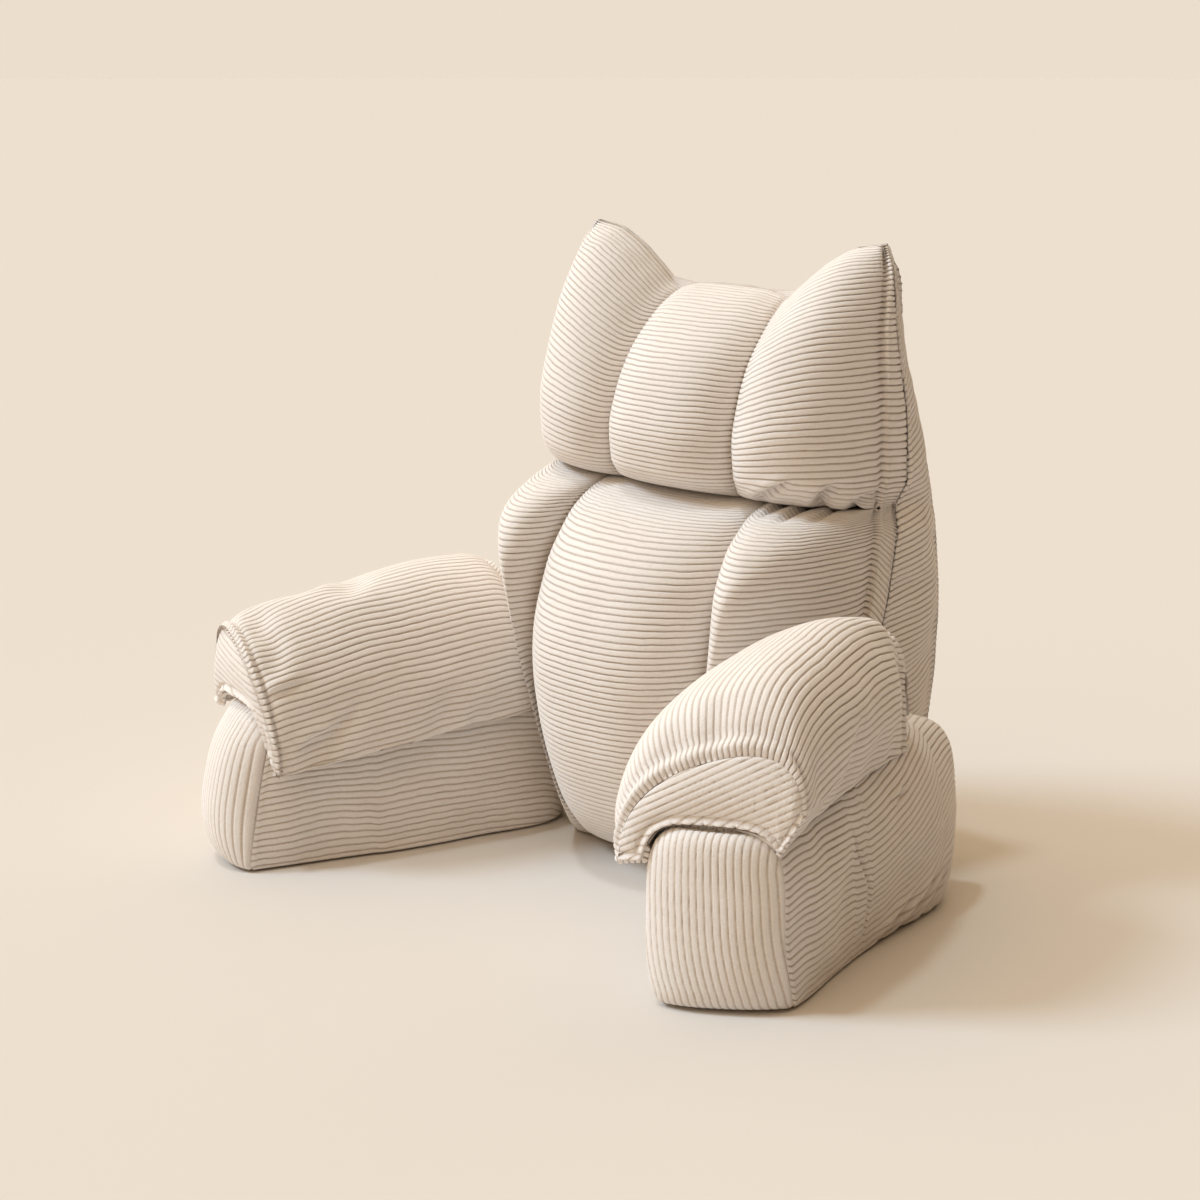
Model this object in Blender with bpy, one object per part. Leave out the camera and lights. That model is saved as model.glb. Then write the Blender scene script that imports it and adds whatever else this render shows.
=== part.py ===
"""Reading pillow with two arms, in wide-wale corduroy.

An upright wedge carries two boxed front cushions: a head cushion with pointed
corners above a lumbar cushion, each sewn into three upright channels. On each
side stands a long arm bolster with a half-moon pad on top. Every piece is one
filled solid.

Metres, +Z up. The origin is on the floor at the middle of the wedge's base.
-Y is the side that the sitter leans on, and +X is the right-hand side of the
pillow seen from the front.
"""

import math
from dataclasses import dataclass

import bmesh
import bpy
import numpy as np

# ---------------------------------------------------------------- main sizes, metres
GAP = 0.0006          # clearance between pieces that touch
BASE_MID = 0.090      # middle of the wedge's base behind the backrest's front foot,
                      # from which the y columns of the tables are measured
CREASE_Z = 0.372      # height of the fold between the two front cushions, in the middle
CREASE_TILT = 0.045   # the fold drops this much for each metre towards +X
TOP_TILT = 0.028      # and so does the top seam
EAR_Z = 0.616         # height of the side at the two pointed corners
LIP = 0.0022          # half thickness of the pressed edge along the top seam
STRIP_BULGE = 0.004   # swell of the boxing strip
GUSSET_BULGE = 0.010  # swell of the wedge's side gusset
GUSSET_SHARE = 0.36   # share of the mesh steps from rear seam to middle that the gusset takes

# Plan of the backrest at each height of its side: front seam of the boxing strip,
# rear seam of the strip, rear corner, and the middle of the back panel.
BACKREST = (
    {"z": 0.000, "x1": 0.150, "y1": 0.000, "x2": 0.158, "y2": 0.012, "x3": 0.168, "y3": 0.144, "y4": 0.158},
    {"z": 0.100, "x1": 0.168, "y1": 0.006, "x2": 0.177, "y2": 0.020, "x3": 0.188, "y3": 0.150, "y4": 0.166},
    {"z": 0.200, "x1": 0.181, "y1": 0.016, "x2": 0.190, "y2": 0.031, "x3": 0.199, "y3": 0.151, "y4": 0.169},
    {"z": 0.290, "x1": 0.188, "y1": 0.034, "x2": 0.198, "y2": 0.052, "x3": 0.203, "y3": 0.145, "y4": 0.166},
    {"z": 0.346, "x1": 0.189, "y1": 0.044, "x2": 0.199, "y2": 0.064, "x3": 0.202, "y3": 0.137, "y4": 0.160},
    {"z": 0.372, "x1": 0.184, "y1": 0.050, "x2": 0.192, "y2": 0.072, "x3": 0.199, "y3": 0.135, "y4": 0.156},
    {"z": 0.398, "x1": 0.189, "y1": 0.054, "x2": 0.198, "y2": 0.082, "x3": 0.198, "y3": 0.127, "y4": 0.151},
    {"z": 0.450, "x1": 0.188, "y1": 0.054, "x2": 0.196, "y2": 0.082, "x3": 0.195, "y3": 0.113, "y4": 0.139},
    {"z": 0.530, "x1": 0.182, "y1": 0.058, "x2": 0.187, "y2": 0.074, "x3": 0.186, "y3": 0.091, "y4": 0.113},
    {"z": 0.585, "x1": 0.176, "y1": 0.071, "x2": 0.179, "y2": 0.079, "x3": 0.180, "y3": 0.087, "y4": 0.099},
    {"z": 0.616, "x1": 0.166, "y1": 0.082, "x2": 0.167, "y2": 0.085, "x3": 0.167, "y3": 0.090, "y4": 0.090},
)

# Top seam from the middle (share 0) to the pointed corner (share 1).
TOP_SEAM = (
    {"share": 0.00, "z": 0.563},
    {"share": 0.22, "z": 0.562},
    {"share": 0.38, "z": 0.557},
    {"share": 0.52, "z": 0.575},
    {"share": 0.68, "z": 0.597},
    {"share": 0.84, "z": 0.610},
    {"share": 1.00, "z": 0.614},
)

# Filling of the front cushions at each share of their height: how far the channel
# seams stand ahead of the strip's front seam, the swell of the channels, and where
# the channel seams run on the left and on the right, as shares of the half width.
HEAD = (
    {"v": 0.00, "seam": 0.054, "middle": 0.010, "side": 0.008, "left": 0.37, "right": 0.37},
    {"v": 0.05, "seam": 0.068, "middle": 0.028, "side": 0.022, "left": 0.37, "right": 0.37},
    {"v": 0.14, "seam": 0.076, "middle": 0.041, "side": 0.032, "left": 0.37, "right": 0.37},
    {"v": 0.30, "seam": 0.078, "middle": 0.046, "side": 0.035, "left": 0.37, "right": 0.37},
    {"v": 0.50, "seam": 0.070, "middle": 0.044, "side": 0.031, "left": 0.37, "right": 0.37},
    {"v": 0.70, "seam": 0.053, "middle": 0.040, "side": 0.028, "left": 0.37, "right": 0.37},
    {"v": 0.86, "seam": 0.032, "middle": 0.031, "side": 0.024, "left": 0.37, "right": 0.37},
    {"v": 0.95, "seam": 0.015, "middle": 0.018, "side": 0.016, "left": 0.37, "right": 0.37},
    {"v": 1.00, "seam": 0.000, "middle": 0.000, "side": 0.000, "left": 0.37, "right": 0.37},
)
LUMBAR = (
    {"v": 0.00, "seam": 0.014, "middle": 0.014, "side": 0.002, "left": 0.64, "right": 0.50},
    {"v": 0.06, "seam": 0.038, "middle": 0.038, "side": 0.014, "left": 0.64, "right": 0.50},
    {"v": 0.20, "seam": 0.066, "middle": 0.062, "side": 0.034, "left": 0.64, "right": 0.50},
    {"v": 0.42, "seam": 0.090, "middle": 0.078, "side": 0.050, "left": 0.63, "right": 0.50},
    {"v": 0.65, "seam": 0.104, "middle": 0.082, "side": 0.060, "left": 0.61, "right": 0.50},
    {"v": 0.80, "seam": 0.106, "middle": 0.072, "side": 0.067, "left": 0.57, "right": 0.50},
    {"v": 0.91, "seam": 0.096, "middle": 0.054, "side": 0.062, "left": 0.53, "right": 0.50},
    {"v": 0.97, "seam": 0.078, "middle": 0.036, "side": 0.044, "left": 0.51, "right": 0.50},
    {"v": 1.00, "seam": 0.058, "middle": 0.016, "side": 0.018, "left": 0.50, "right": 0.50},
)

# Where an arm leans on the backrest: an upright plane through FOOT, seen on the +X
# side, that faces outward and forward and leans out by LEAN for each metre of height.
CONTACT_FOOT = (0.124, -0.020)
CONTACT_FACING = (0.834, -0.552)
CONTACT_LEAN = 0.23
SQUASH = 0.012            # how far from that plane the backrest starts to give

# The two arms lie at their own angles. front is the middle of the end panel, splay
# turns the arm outward and end_turn its end panel further, girth scales its width, toe
# shifts its foot outward at the front, press is how deep it sits against the backrest,
# pad is where the pad starts and ends along the arm, pad_shift moves it outward and
# pad_rise up, pad_puff swells its front up and inward, pad_dip lowers its front seam,
# and the lips are the heights of its long edges at the front and the rear.
ARMS = {
    "left": {"side": -1, "front": (0.357, -0.279), "splay": 24.0, "end_turn": 5.0, "girth": 0.94,
             "toe": -0.009, "press": 0.0127, "pad": (0.008, 0.312), "pad_shift": -0.003,
             "pad_rise": -0.016, "pad_puff": 0.0, "pad_dip": 0.0,
             "lip_in": (0.098, 0.128), "lip_out": (0.142, 0.190)},
    "right": {"side": 1, "front": (0.249, -0.323), "splay": 10.5, "end_turn": 8.0, "girth": 1.04,
              "toe": 0.010, "press": 0.0025, "pad": (-0.006, 0.262), "pad_shift": -0.006,
              "pad_rise": 0.0, "pad_puff": 0.026, "pad_dip": 0.012,
              "lip_in": (0.122, 0.138), "lip_out": (0.178, 0.222)},
}
END_REACH = 0.14              # length over which the turn of the end panel fades out
TOE_REACH = 0.25              # length over which the shift of the foot fades out
PUFF_START = 0.06             # shares of the pad over which its puff grows and fades,
PUFF_END = 0.62
PUFF_UP = 0.8                 # and how much of it goes up

# Bolster of an arm at each distance from its front end panel.
BOLSTER = (
    {"s": 0.000, "inner": 0.0600, "outer": 0.0580, "height": 0.160},
    {"s": 0.040, "inner": 0.0635, "outer": 0.0630, "height": 0.168},
    {"s": 0.120, "inner": 0.0650, "outer": 0.0690, "height": 0.174},
    {"s": 0.220, "inner": 0.0660, "outer": 0.0850, "height": 0.182},
    {"s": 0.300, "inner": 0.0680, "outer": 0.1010, "height": 0.186},
    {"s": 0.372, "inner": 0.0680, "outer": 0.1070, "height": 0.184},
)
BOLSTER_SQUARENESS = 4.0      # exponent of the section: 2 is round, more is boxier
BOLSTER_MIDDLE = 0.48         # widest height of the section, as a share of the height
BOLSTER_SAG = 1.28            # how far the section would reach below the floor it lies on
BOLSTER_TAPER = 0.020         # how much the outer side leans in at the top of the rear
REAR_ROUND = 0.075            # length of the rounded rear end

# Pad on an arm, from its front end panel (share 0) to its rear end (share 1).
PAD = (
    {"share": 0.00, "half_width": 0.0760, "crown": 0.230},
    {"share": 0.08, "half_width": 0.0785, "crown": 0.246},
    {"share": 0.23, "half_width": 0.0805, "crown": 0.262},
    {"share": 0.45, "half_width": 0.0820, "crown": 0.276},
    {"share": 0.70, "half_width": 0.0825, "crown": 0.284},
    {"share": 0.88, "half_width": 0.0810, "crown": 0.278},
    {"share": 1.00, "half_width": 0.0770, "crown": 0.256},
)

CORDUROY = {"colour": (0.79, 0.73, 0.65, 1.0), "roughness": 0.92}

ACROSS = 26                   # mesh steps across a front cushion, between its seams
UP_HEAD, UP_LUMBAR = 16, 18   # mesh steps up each front cushion
AROUND = 36                   # mesh steps round a bolster


# ---------------------------------------------------------------- curves through the tables
def smooth(table, key, column, at):
    """The column's value at a place between the rows, on a curve that doesn't overshoot them."""
    xs = np.array([row[key] for row in table])
    ys = np.array([row[column] for row in table])
    step = np.diff(xs)
    rise = np.diff(ys) / step
    slope = np.zeros_like(ys)
    slope[0], slope[-1] = rise[0], rise[-1]
    same = rise[1:] * rise[:-1] > 0
    harmonic = 2 * rise[1:] * rise[:-1] / np.where(same, rise[1:] + rise[:-1], 1.0)
    slope[1:-1] = np.where(same, harmonic, 0.0)
    at = np.clip(at, xs[0], xs[-1])
    i = np.clip(np.searchsorted(xs, at, side="right") - 1, 0, len(step) - 1)
    t = (at - xs[i]) / step[i]
    return (ys[i] * (1 + 2 * t) * (1 - t) ** 2 + slope[i] * step[i] * t * (1 - t) ** 2
            + ys[i + 1] * (3 - 2 * t) * t ** 2 + slope[i + 1] * step[i] * t ** 2 * (t - 1))


def swell(t, squareness=2.4, fullness=0.62):
    """Section of one filled channel: 1 in the middle and 0 at its two seams, t from -1 to 1."""
    return np.clip(1 - np.abs(t) ** squareness, 0, 1) ** fullness


# ---------------------------------------------------------------- the backrest
def crease_height(x):
    return CREASE_Z - CREASE_TILT * x


def height_at(side_z, share, x):
    """Real height of a point whose row meets the side seams at side_z."""
    fold = crease_height(x)
    top = smooth(TOP_SEAM, "share", "z", np.abs(share)) - TOP_TILT * x
    upper = (side_z - CREASE_Z) / (EAR_Z - CREASE_Z)
    return np.where(side_z <= CREASE_Z, side_z / CREASE_Z * fold, fold + upper * (top - fold))


def give_way(points):
    """Presses points of the backrest back behind the planes that the arms lean on."""
    points = points.copy()
    facing = np.array(CONTACT_FACING)
    facing = facing / np.linalg.norm(facing)
    for side in (-1, 1):
        across = side * points[..., 0] - CONTACT_FOOT[0]
        ahead = points[..., 1] - CONTACT_FOOT[1]
        out = facing[0] * across + facing[1] * ahead - CONTACT_LEAN * points[..., 2]
        past = np.maximum(out + SQUASH, 0)
        move = past - SQUASH * (1 - np.exp(-past / SQUASH))
        points[..., 0] -= side * facing[0] * move
        points[..., 1] -= facing[1] * move
    return points


def rows_up(low, high, steps):
    """Shares of a cushion's height and the side heights of its mesh rows, closer at both ends."""
    even = np.linspace(0, 1, steps + 1)
    v = 0.55 * (0.5 - 0.5 * np.cos(math.pi * even)) + 0.45 * even
    return v, low + v * (high - low)


def joint_row(side_z):
    """The row of points where the front cushions meet the wedge."""
    share = np.linspace(-1, 1, ACROSS + 5)
    x = share * smooth(BACKREST, "z", "x2", side_z)
    y = smooth(BACKREST, "z", "y2", side_z) + 0 * x
    return np.stack([x, y, height_at(side_z, share, x)], -1)


def quilted_row(side_z, filling, v):
    """Front of one cushion from rear seam to rear seam: strip, three channels, strip."""
    share = np.linspace(-1, 1, ACROSS + 1)
    x1 = smooth(BACKREST, "z", "x1", side_z)
    y1 = smooth(BACKREST, "z", "y1", side_z)
    seam, middle, side = (smooth(filling, "v", column, v) for column in ("seam", "middle", "side"))
    a = np.abs(share)
    channel = np.where(share < 0, smooth(filling, "v", "left", v), smooth(filling, "v", "right", v))
    outer = np.clip((a - channel) / (1 - channel), 0, 1)
    body = seam * np.clip(1 - outer ** 2.2, 0, 1) ** 0.6
    crown = np.where(a < channel, middle * swell(a / channel), side * swell(2 * outer - 1))
    x, y = share * x1, y1 - body - crown
    rear = joint_row(side_z)
    bulge = STRIP_BULGE * math.sin(math.pi * v)
    strip_x = (x[-1] + rear[-1, 0]) / 2 + bulge
    strip_y = (y[-1] + rear[-1, 1]) / 2
    x = np.concatenate([[rear[0, 0], -strip_x], x, [strip_x, rear[-1, 0]]])
    y = np.concatenate([[rear[0, 1], strip_y], y, [strip_y, rear[-1, 1]]])
    y[1:-1] = np.minimum(y[1:-1], rear[1:-1, 1] - 2 * LIP)
    share = np.concatenate([[-1, -1], share, [1, 1]])
    return np.stack([x, y, height_at(side_z, share, x)], -1), rear


def front_cushion(name, low, high, steps, filling):
    """One front cushion: channelled front, narrow boxing strip, rear on the wedge."""
    front, back = [], []
    for v, side_z in zip(*rows_up(low, high, steps)):
        quilted, rear = quilted_row(side_z, filling, v)
        front.append(quilted)
        back.append(rear)
    front, back = give_way(np.array(front)), give_way(np.array(back))
    for grid in (front, back):
        grid[..., 1] -= GAP / 2
        grid[0, :, 2] += GAP / 2 if low > 0 else 0
        grid[-1, :, 2] -= GAP / 2 if low == 0 else 0
    return two_faced(name, front, back)


def gusset_and_back(side_z):
    """Outline of the wedge from one rear seam over gusset, corner and back panel to the other."""
    x2, y2, x3, y3, y4 = (float(smooth(BACKREST, "z", key, side_z)) for key in ("x2", "y2", "x3", "y3", "y4"))
    half = (ACROSS + 4) // 2
    corner = int(round(GUSSET_SHARE * half))
    q = np.arange(corner + 1) / corner
    bulge = GUSSET_BULGE * np.sin(math.pi * q) * min(1.0, (y3 - y2) / 0.05)
    gusset = np.stack([x2 + q * (x3 - x2) + bulge, y2 + q * (y3 - y2)], -1)
    q = np.arange(1, half - corner + 1) / (half - corner)
    panel = np.stack([x3 * (1 - q), y3 + np.sin(math.pi / 2 * q) * (y4 - y3)], -1)
    right = np.concatenate([gusset, panel])
    loop = np.concatenate([right * (-1, 1), right[-2::-1]])
    share = np.clip(loop[:, 0] / x2, -1, 1)
    return np.stack([loop[:, 0], loop[:, 1], height_at(side_z, share, loop[:, 0])], -1)


def wedge():
    """The upright body behind the front cushions: gussets, back panel, base."""
    lumbar_rows = rows_up(0.0, CREASE_Z, UP_LUMBAR)[1]
    head_rows = rows_up(CREASE_Z, EAR_Z, UP_HEAD)[1]
    rows = np.concatenate([lumbar_rows, head_rows[1:]])
    front = give_way(np.array([joint_row(z) for z in rows]))
    back = give_way(np.array([gusset_and_back(z) for z in rows]))
    for grid in (front, back):
        grid[..., 1] += GAP / 2
    return two_faced("back_wedge", front, back)


# ---------------------------------------------------------------- the arms
@dataclass(frozen=True)
class Arm:
    """One arm's place on the floor and the sections of its bolster and pad."""

    name: str
    side: int
    front: tuple
    splay: float
    end_turn: float
    girth: float
    toe: float
    press: float
    pad: tuple
    pad_shift: float
    pad_rise: float
    pad_puff: float
    pad_dip: float
    lip_in: tuple
    lip_out: tuple

    @property
    def along(self):
        return np.array([-math.sin(math.radians(self.splay)), math.cos(math.radians(self.splay))])

    @property
    def outward(self):
        return np.array([math.cos(math.radians(self.splay)), math.sin(math.radians(self.splay))])

    def contact(self, s, z):
        """Lateral place at which the section at s meets the backrest."""
        facing = np.array(CONTACT_FACING) / np.linalg.norm(CONTACT_FACING)
        ahead = facing @ (np.array(self.front) - CONTACT_FOOT) + s * (facing @ self.along)
        return (CONTACT_LEAN * z - self.press - ahead) / (facing @ self.outward)

    def lean_on_backrest(self, s, w, z, inner, outer):
        """Narrows a section from its inner side so that it ends at the backrest."""
        limit = self.contact(s, z)
        narrowed = (limit - inner + np.sqrt((limit + inner) ** 2 + 0.012 ** 2)) / 2
        return outer - (outer - w) * (outer - narrowed) / (outer + inner)

    def place(self, s, w, z):
        """World coordinates of points given along, across and up the arm."""
        s = s + w * math.tan(math.radians(self.end_turn)) * max(0.0, 1 - max(s, 0.0) / END_REACH) ** 2
        plan = np.array(self.front) + np.outer(s, self.along) + np.outer(w, self.outward)
        return np.stack([self.side * plan[:, 0], plan[:, 1], z + 0 * w], -1)

    def bolster_section(self, s, angle):
        """w and z of the bolster at s. angle 0 is its inner side, 90 its top, 180 outside."""
        inner = self.girth * float(smooth(BOLSTER, "s", "inner", s))
        outer = self.girth * float(smooth(BOLSTER, "s", "outer", s))
        height = float(smooth(BOLSTER, "s", "height", s))
        length = BOLSTER[-1]["s"]
        into = max(0.0, (s - length + REAR_ROUND) / REAR_ROUND)
        shrink = 0.45 + 0.55 * math.sqrt(max(0.0, 1 - into ** 2))
        middle = BOLSTER_MIDDLE * height
        power = 2 / BOLSTER_SQUARENESS
        turn = np.radians(angle)
        c = np.sign(np.cos(turn)) * np.abs(np.cos(turn)) ** power
        u = np.sign(np.sin(turn)) * np.abs(np.sin(turn)) ** power
        up = height - middle
        z = np.maximum(middle + np.where(u > 0, up * u, middle * BOLSTER_SAG * u) * shrink, 0)
        w = (outer - inner) / 2 - (outer + inner) / 2 * shrink * c
        lean_in = BOLSTER_TAPER * s / length * np.maximum(0, z / middle - 1)
        w = w - lean_in * np.maximum(w, 0) / outer
        w = w + self.toe * max(0.0, 1 - s / TOE_REACH) * np.maximum(0, 1 - z / middle) ** 2
        return self.lean_on_backrest(s, w, z, inner, outer), z

    def bolster(self):
        length = BOLSTER[-1]["s"]
        angle = np.linspace(0, 360, AROUND, endpoint=False) + 5.0
        stations = np.concatenate([np.linspace(0, length - REAR_ROUND, 13),
                                   length - REAR_ROUND + REAR_ROUND * np.sin(np.radians((22, 42, 60, 75, 88)))])
        rings = []
        for share, ahead in ((0.55, 0.010), (0.88, 0.006)):
            w, z = self.bolster_section(0.0, angle)
            rings.append(self.place(-ahead, share * w, z.mean() + share * (z - z.mean())))
        for s in stations:
            w, z = self.bolster_section(s, angle)
            rings.append(self.place(s, w, z))
        return ringed("arm_bolster_" + self.name, rings)

    def pad_section(self, s, share):
        """w and z round the pad: its hollow from inside to outside, then back over the crown."""
        half_width = self.girth * float(smooth(PAD, "share", "half_width", share))
        front = math.exp(-share / PUFF_START)
        puff = self.pad_puff * (1 - front) * math.exp(-(share / PUFF_END) ** 2)
        crown = float(smooth(PAD, "share", "crown", share)) + self.pad_rise * math.sin(math.pi * share) ** 0.5
        crown += PUFF_UP * puff - self.pad_dip * front
        lip_in = self.lip_in[0] + share * (self.lip_in[1] - self.lip_in[0])
        lip_out = self.lip_out[0] + share * (self.lip_out[1] - self.lip_out[0])
        w, z = self.bolster_section(max(s, 0.0), np.linspace(16, 142, 14))
        tangent = np.gradient(np.stack([w, z], -1), axis=0)
        tangent /= np.linalg.norm(tangent, axis=1)[:, None]
        w, z = w - tangent[:, 1] * GAP * 1.5, z + tangent[:, 0] * GAP * 1.5
        z = np.maximum(z, lip_in + 0.002 + 0.1 * (w + half_width))
        turn = np.radians(np.linspace(180, 0, 21))
        across = -np.sign(np.cos(turn)) * np.abs(np.cos(turn)) ** 0.86
        base = lip_in + (lip_out - lip_in) * (across + 1) / 2
        over = base + (crown - (lip_in + lip_out) / 2) * np.abs(np.sin(turn)) ** 0.80
        inner, outer = half_width - self.pad_shift + puff, half_width + self.pad_shift
        side = half_width * across + self.pad_shift + puff * np.minimum(across, 0) * np.abs(np.sin(turn)) ** 0.6
        side = self.lean_on_backrest(s, side, over, inner, outer)
        return np.concatenate([w, side]), np.concatenate([z, over])

    def pad_ring(self, share):
        first, last = self.pad
        s = first + share * (last - first)
        w, z = self.pad_section(s, share)
        return self.place(s, w, z)

    def pad_rings(self):
        return [self.pad_ring(share) for share in
                np.concatenate([[0.0, 0.03], np.linspace(0.08, 0.90, 12), [0.955, 0.987, 1.0]])]

    def pad_solid(self):
        return ringed("arm_pad_" + self.name, self.pad_rings())


# ---------------------------------------------------------------- meshes
def two_faced(name, front, back):
    """A closed solid from a front and a back grid that share their left and right columns."""
    rows, columns = front.shape[:2]
    mesh = bmesh.new()
    f = [[mesh.verts.new(front[j, i]) for i in range(columns)] for j in range(rows)]
    b = [[f[j][i] if i in (0, columns - 1) else mesh.verts.new(back[j, i]) for i in range(columns)]
         for j in range(rows)]
    for j in range(rows - 1):
        for i in range(columns - 1):
            mesh.faces.new((f[j][i], f[j][i + 1], f[j + 1][i + 1]))
            mesh.faces.new((f[j][i], f[j + 1][i + 1], f[j + 1][i]))
            mesh.faces.new((b[j][i], b[j + 1][i + 1], b[j][i + 1]))
            mesh.faces.new((b[j][i], b[j + 1][i], b[j + 1][i + 1]))
    for j, turned in ((0, True), (rows - 1, False)):
        for i in range(columns - 1):
            corners = list(dict.fromkeys((f[j][i], f[j][i + 1], b[j][i + 1], b[j][i])))
            mesh.faces.new(corners[::-1] if turned else corners)
    return finish(name, mesh)


def ringed(name, rings):
    """A closed solid through rings of equal count, with flat ends."""
    mesh = bmesh.new()
    loops = [[mesh.verts.new(p) for p in ring] for ring in rings]
    for low, high in zip(loops, loops[1:]):
        for i in range(len(low)):
            k = (i + 1) % len(low)
            corners = (low[i], low[k], high[k], high[i])
            mesh.faces.new(corners)
    mesh.faces.new(loops[0][::-1])
    mesh.faces.new(loops[-1])
    return finish(name, mesh)


def finish(name, mesh):
    """Turns the mesh into a smooth-shaded object in corduroy, with the origin at the base."""
    if mesh.calc_volume(signed=True) < 0:
        bmesh.ops.reverse_faces(mesh, faces=mesh.faces)
    bmesh.ops.translate(mesh, verts=mesh.verts, vec=(0, -BASE_MID, 0))
    data = bpy.data.meshes.new(name)
    mesh.to_mesh(data)
    mesh.free()
    data.shade_smooth()
    data.set_sharp_from_angle(angle=math.radians(38))
    data.materials.append(corduroy(name))
    piece = bpy.data.objects.new(name, data)
    bpy.context.scene.collection.objects.link(piece)
    return piece


def corduroy(name):
    """Cream corduroy for one sub-part."""
    material = bpy.data.materials.new("corduroy_" + name)
    material.use_nodes = True
    shader = material.node_tree.nodes["Principled BSDF"]
    shader.inputs["Base Color"].default_value = CORDUROY["colour"]
    shader.inputs["Roughness"].default_value = CORDUROY["roughness"]
    shader.inputs["Metallic"].default_value = 0.0
    return material


def main():
    for item in list(bpy.data.objects):
        bpy.data.objects.remove(item, do_unlink=True)
    wedge()
    front_cushion("lumbar_cushion", 0.0, CREASE_Z, UP_LUMBAR, LUMBAR)
    front_cushion("head_cushion", CREASE_Z, EAR_Z, UP_HEAD, HEAD)
    for name, sizes in ARMS.items():
        arm = Arm(name, **sizes)
        arm.bolster()
        arm.pad_solid()


main()
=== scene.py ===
"""Looks of the reading pillow with arms: seven filled covers in cream wide-wale corduroy.

Each cover is worked out in three steps. A form gives the crowned shape of the filled
piece, a cloth simulation adds the wrinkles of the stuffed cover, and the cords (wales)
are then laid over the form as real relief, pinched where the cover is sewn.
"""

import logging
import math
from dataclasses import dataclass
from enum import Enum

import bpy
import numpy as np
from mathutils import Matrix, Vector


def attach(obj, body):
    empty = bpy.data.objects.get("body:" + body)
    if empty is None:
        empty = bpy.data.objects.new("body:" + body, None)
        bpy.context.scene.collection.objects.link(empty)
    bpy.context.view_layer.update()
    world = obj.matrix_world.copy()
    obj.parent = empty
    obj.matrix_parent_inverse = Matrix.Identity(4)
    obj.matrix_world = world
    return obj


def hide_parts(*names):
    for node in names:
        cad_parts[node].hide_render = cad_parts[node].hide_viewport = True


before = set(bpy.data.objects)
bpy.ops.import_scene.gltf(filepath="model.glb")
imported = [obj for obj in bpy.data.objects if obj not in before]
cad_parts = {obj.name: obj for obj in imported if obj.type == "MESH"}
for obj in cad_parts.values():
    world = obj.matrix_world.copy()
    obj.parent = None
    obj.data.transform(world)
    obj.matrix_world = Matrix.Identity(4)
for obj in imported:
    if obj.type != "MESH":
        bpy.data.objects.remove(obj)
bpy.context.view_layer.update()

log = logging.getLogger("reading_pillow")
Array = np.ndarray

BASE_MID = 0.090      # middle of the wedge's base behind the backrest's front foot
GAP = 0.0006          # clearance between covers that touch
STEPS = 7             # mesh steps across one wale
FOLDED = 14           # form rows over each folded end of a front cushion
FLAT_ROWS = 4         # cloth rows without wales at both ends of a front cushion
RESTING = 0.004       # cloth below this height rests on the floor
REAR_FACE = 0.0001    # the flat faces between wedge and front cushions stand out by this
UNDERSIDE = -0.0002   # a cushion's underside lies back by this
CORNER = 0.0022       # width of the corner that stays up beside the wedge
EVEN = (0.10, 0.045)  # share and size of the backrest's uneven wales


# ---------------------------------------------------------------- sizes read from tables
@dataclass(frozen=True)
class Table:
    """Sizes at a few places: the first column is the place, the rest are read between rows."""

    columns: tuple[str, ...]
    rows: tuple[tuple[float, ...], ...]

    def read(self, column: str, at: Array | float) -> Array:
        """Reads a column on a curve that doesn't overshoot the rows.

        Args:
            column: name of the size.
            at: places, in the units of the first column.

        Returns:
            The size at each place.
        """
        xs = np.array([row[0] for row in self.rows])
        ys = np.array([row[self.columns.index(column)] for row in self.rows])
        step = np.diff(xs)
        rise = np.diff(ys) / step
        slope = np.zeros_like(ys)
        slope[0], slope[-1] = rise[0], rise[-1]
        same = rise[1:] * rise[:-1] > 0
        mean = 2 * rise[1:] * rise[:-1] / np.where(same, rise[1:] + rise[:-1], 1.0)
        slope[1:-1] = np.where(same, mean, 0.0)
        at = np.clip(at, xs[0], xs[-1])
        i = np.clip(np.searchsorted(xs, at, side="right") - 1, 0, len(step) - 1)
        t = (at - xs[i]) / step[i]
        return (ys[i] * (1 + 2 * t) * (1 - t) ** 2 + slope[i] * step[i] * t * (1 - t) ** 2
                + ys[i + 1] * (3 - 2 * t) * t ** 2 + slope[i + 1] * step[i] * t ** 2 * (t - 1))


def bump(distance: Array, width: float) -> Array:
    """A smooth hump of height 1 at distance 0."""
    return np.exp(-(distance / width) ** 2)


def powered(values: Array, power: float) -> Array:
    """Values with their size raised to a power and their sign kept."""
    return np.sign(values) * np.abs(values) ** power


def left_by(distance: Array, width: float, share: float = 1.0) -> Array:
    """How much is left beside a line that takes away a share of it."""
    return 1 - share * bump(distance, width)


def ramp(low: float, high: float, value: Array) -> Array:
    """Rises smoothly from 0 at low to 1 at high."""
    t = np.clip((value - low) / (high - low), 0, 1)
    return t * t * (3 - 2 * t)


def unevenness(points: Array, size: float, seed: int) -> Array:
    """Smooth random variation of about -1 to 1 over a surface.

    Args:
        points: places, ... x 3, in metres.
        size: distance between one swelling and the next.
        seed: which variation.

    Returns:
        One value per place.
    """
    dice = np.random.default_rng(seed)
    total = np.zeros(points.shape[:-1])
    for _ in range(7):
        way = dice.normal(size=3)
        way *= 2 * math.pi / size / np.linalg.norm(way) * dice.uniform(0.7, 1.4)
        total += np.sin(points @ way + dice.uniform(0, 2 * math.pi))
    return total / 3.2


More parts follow.
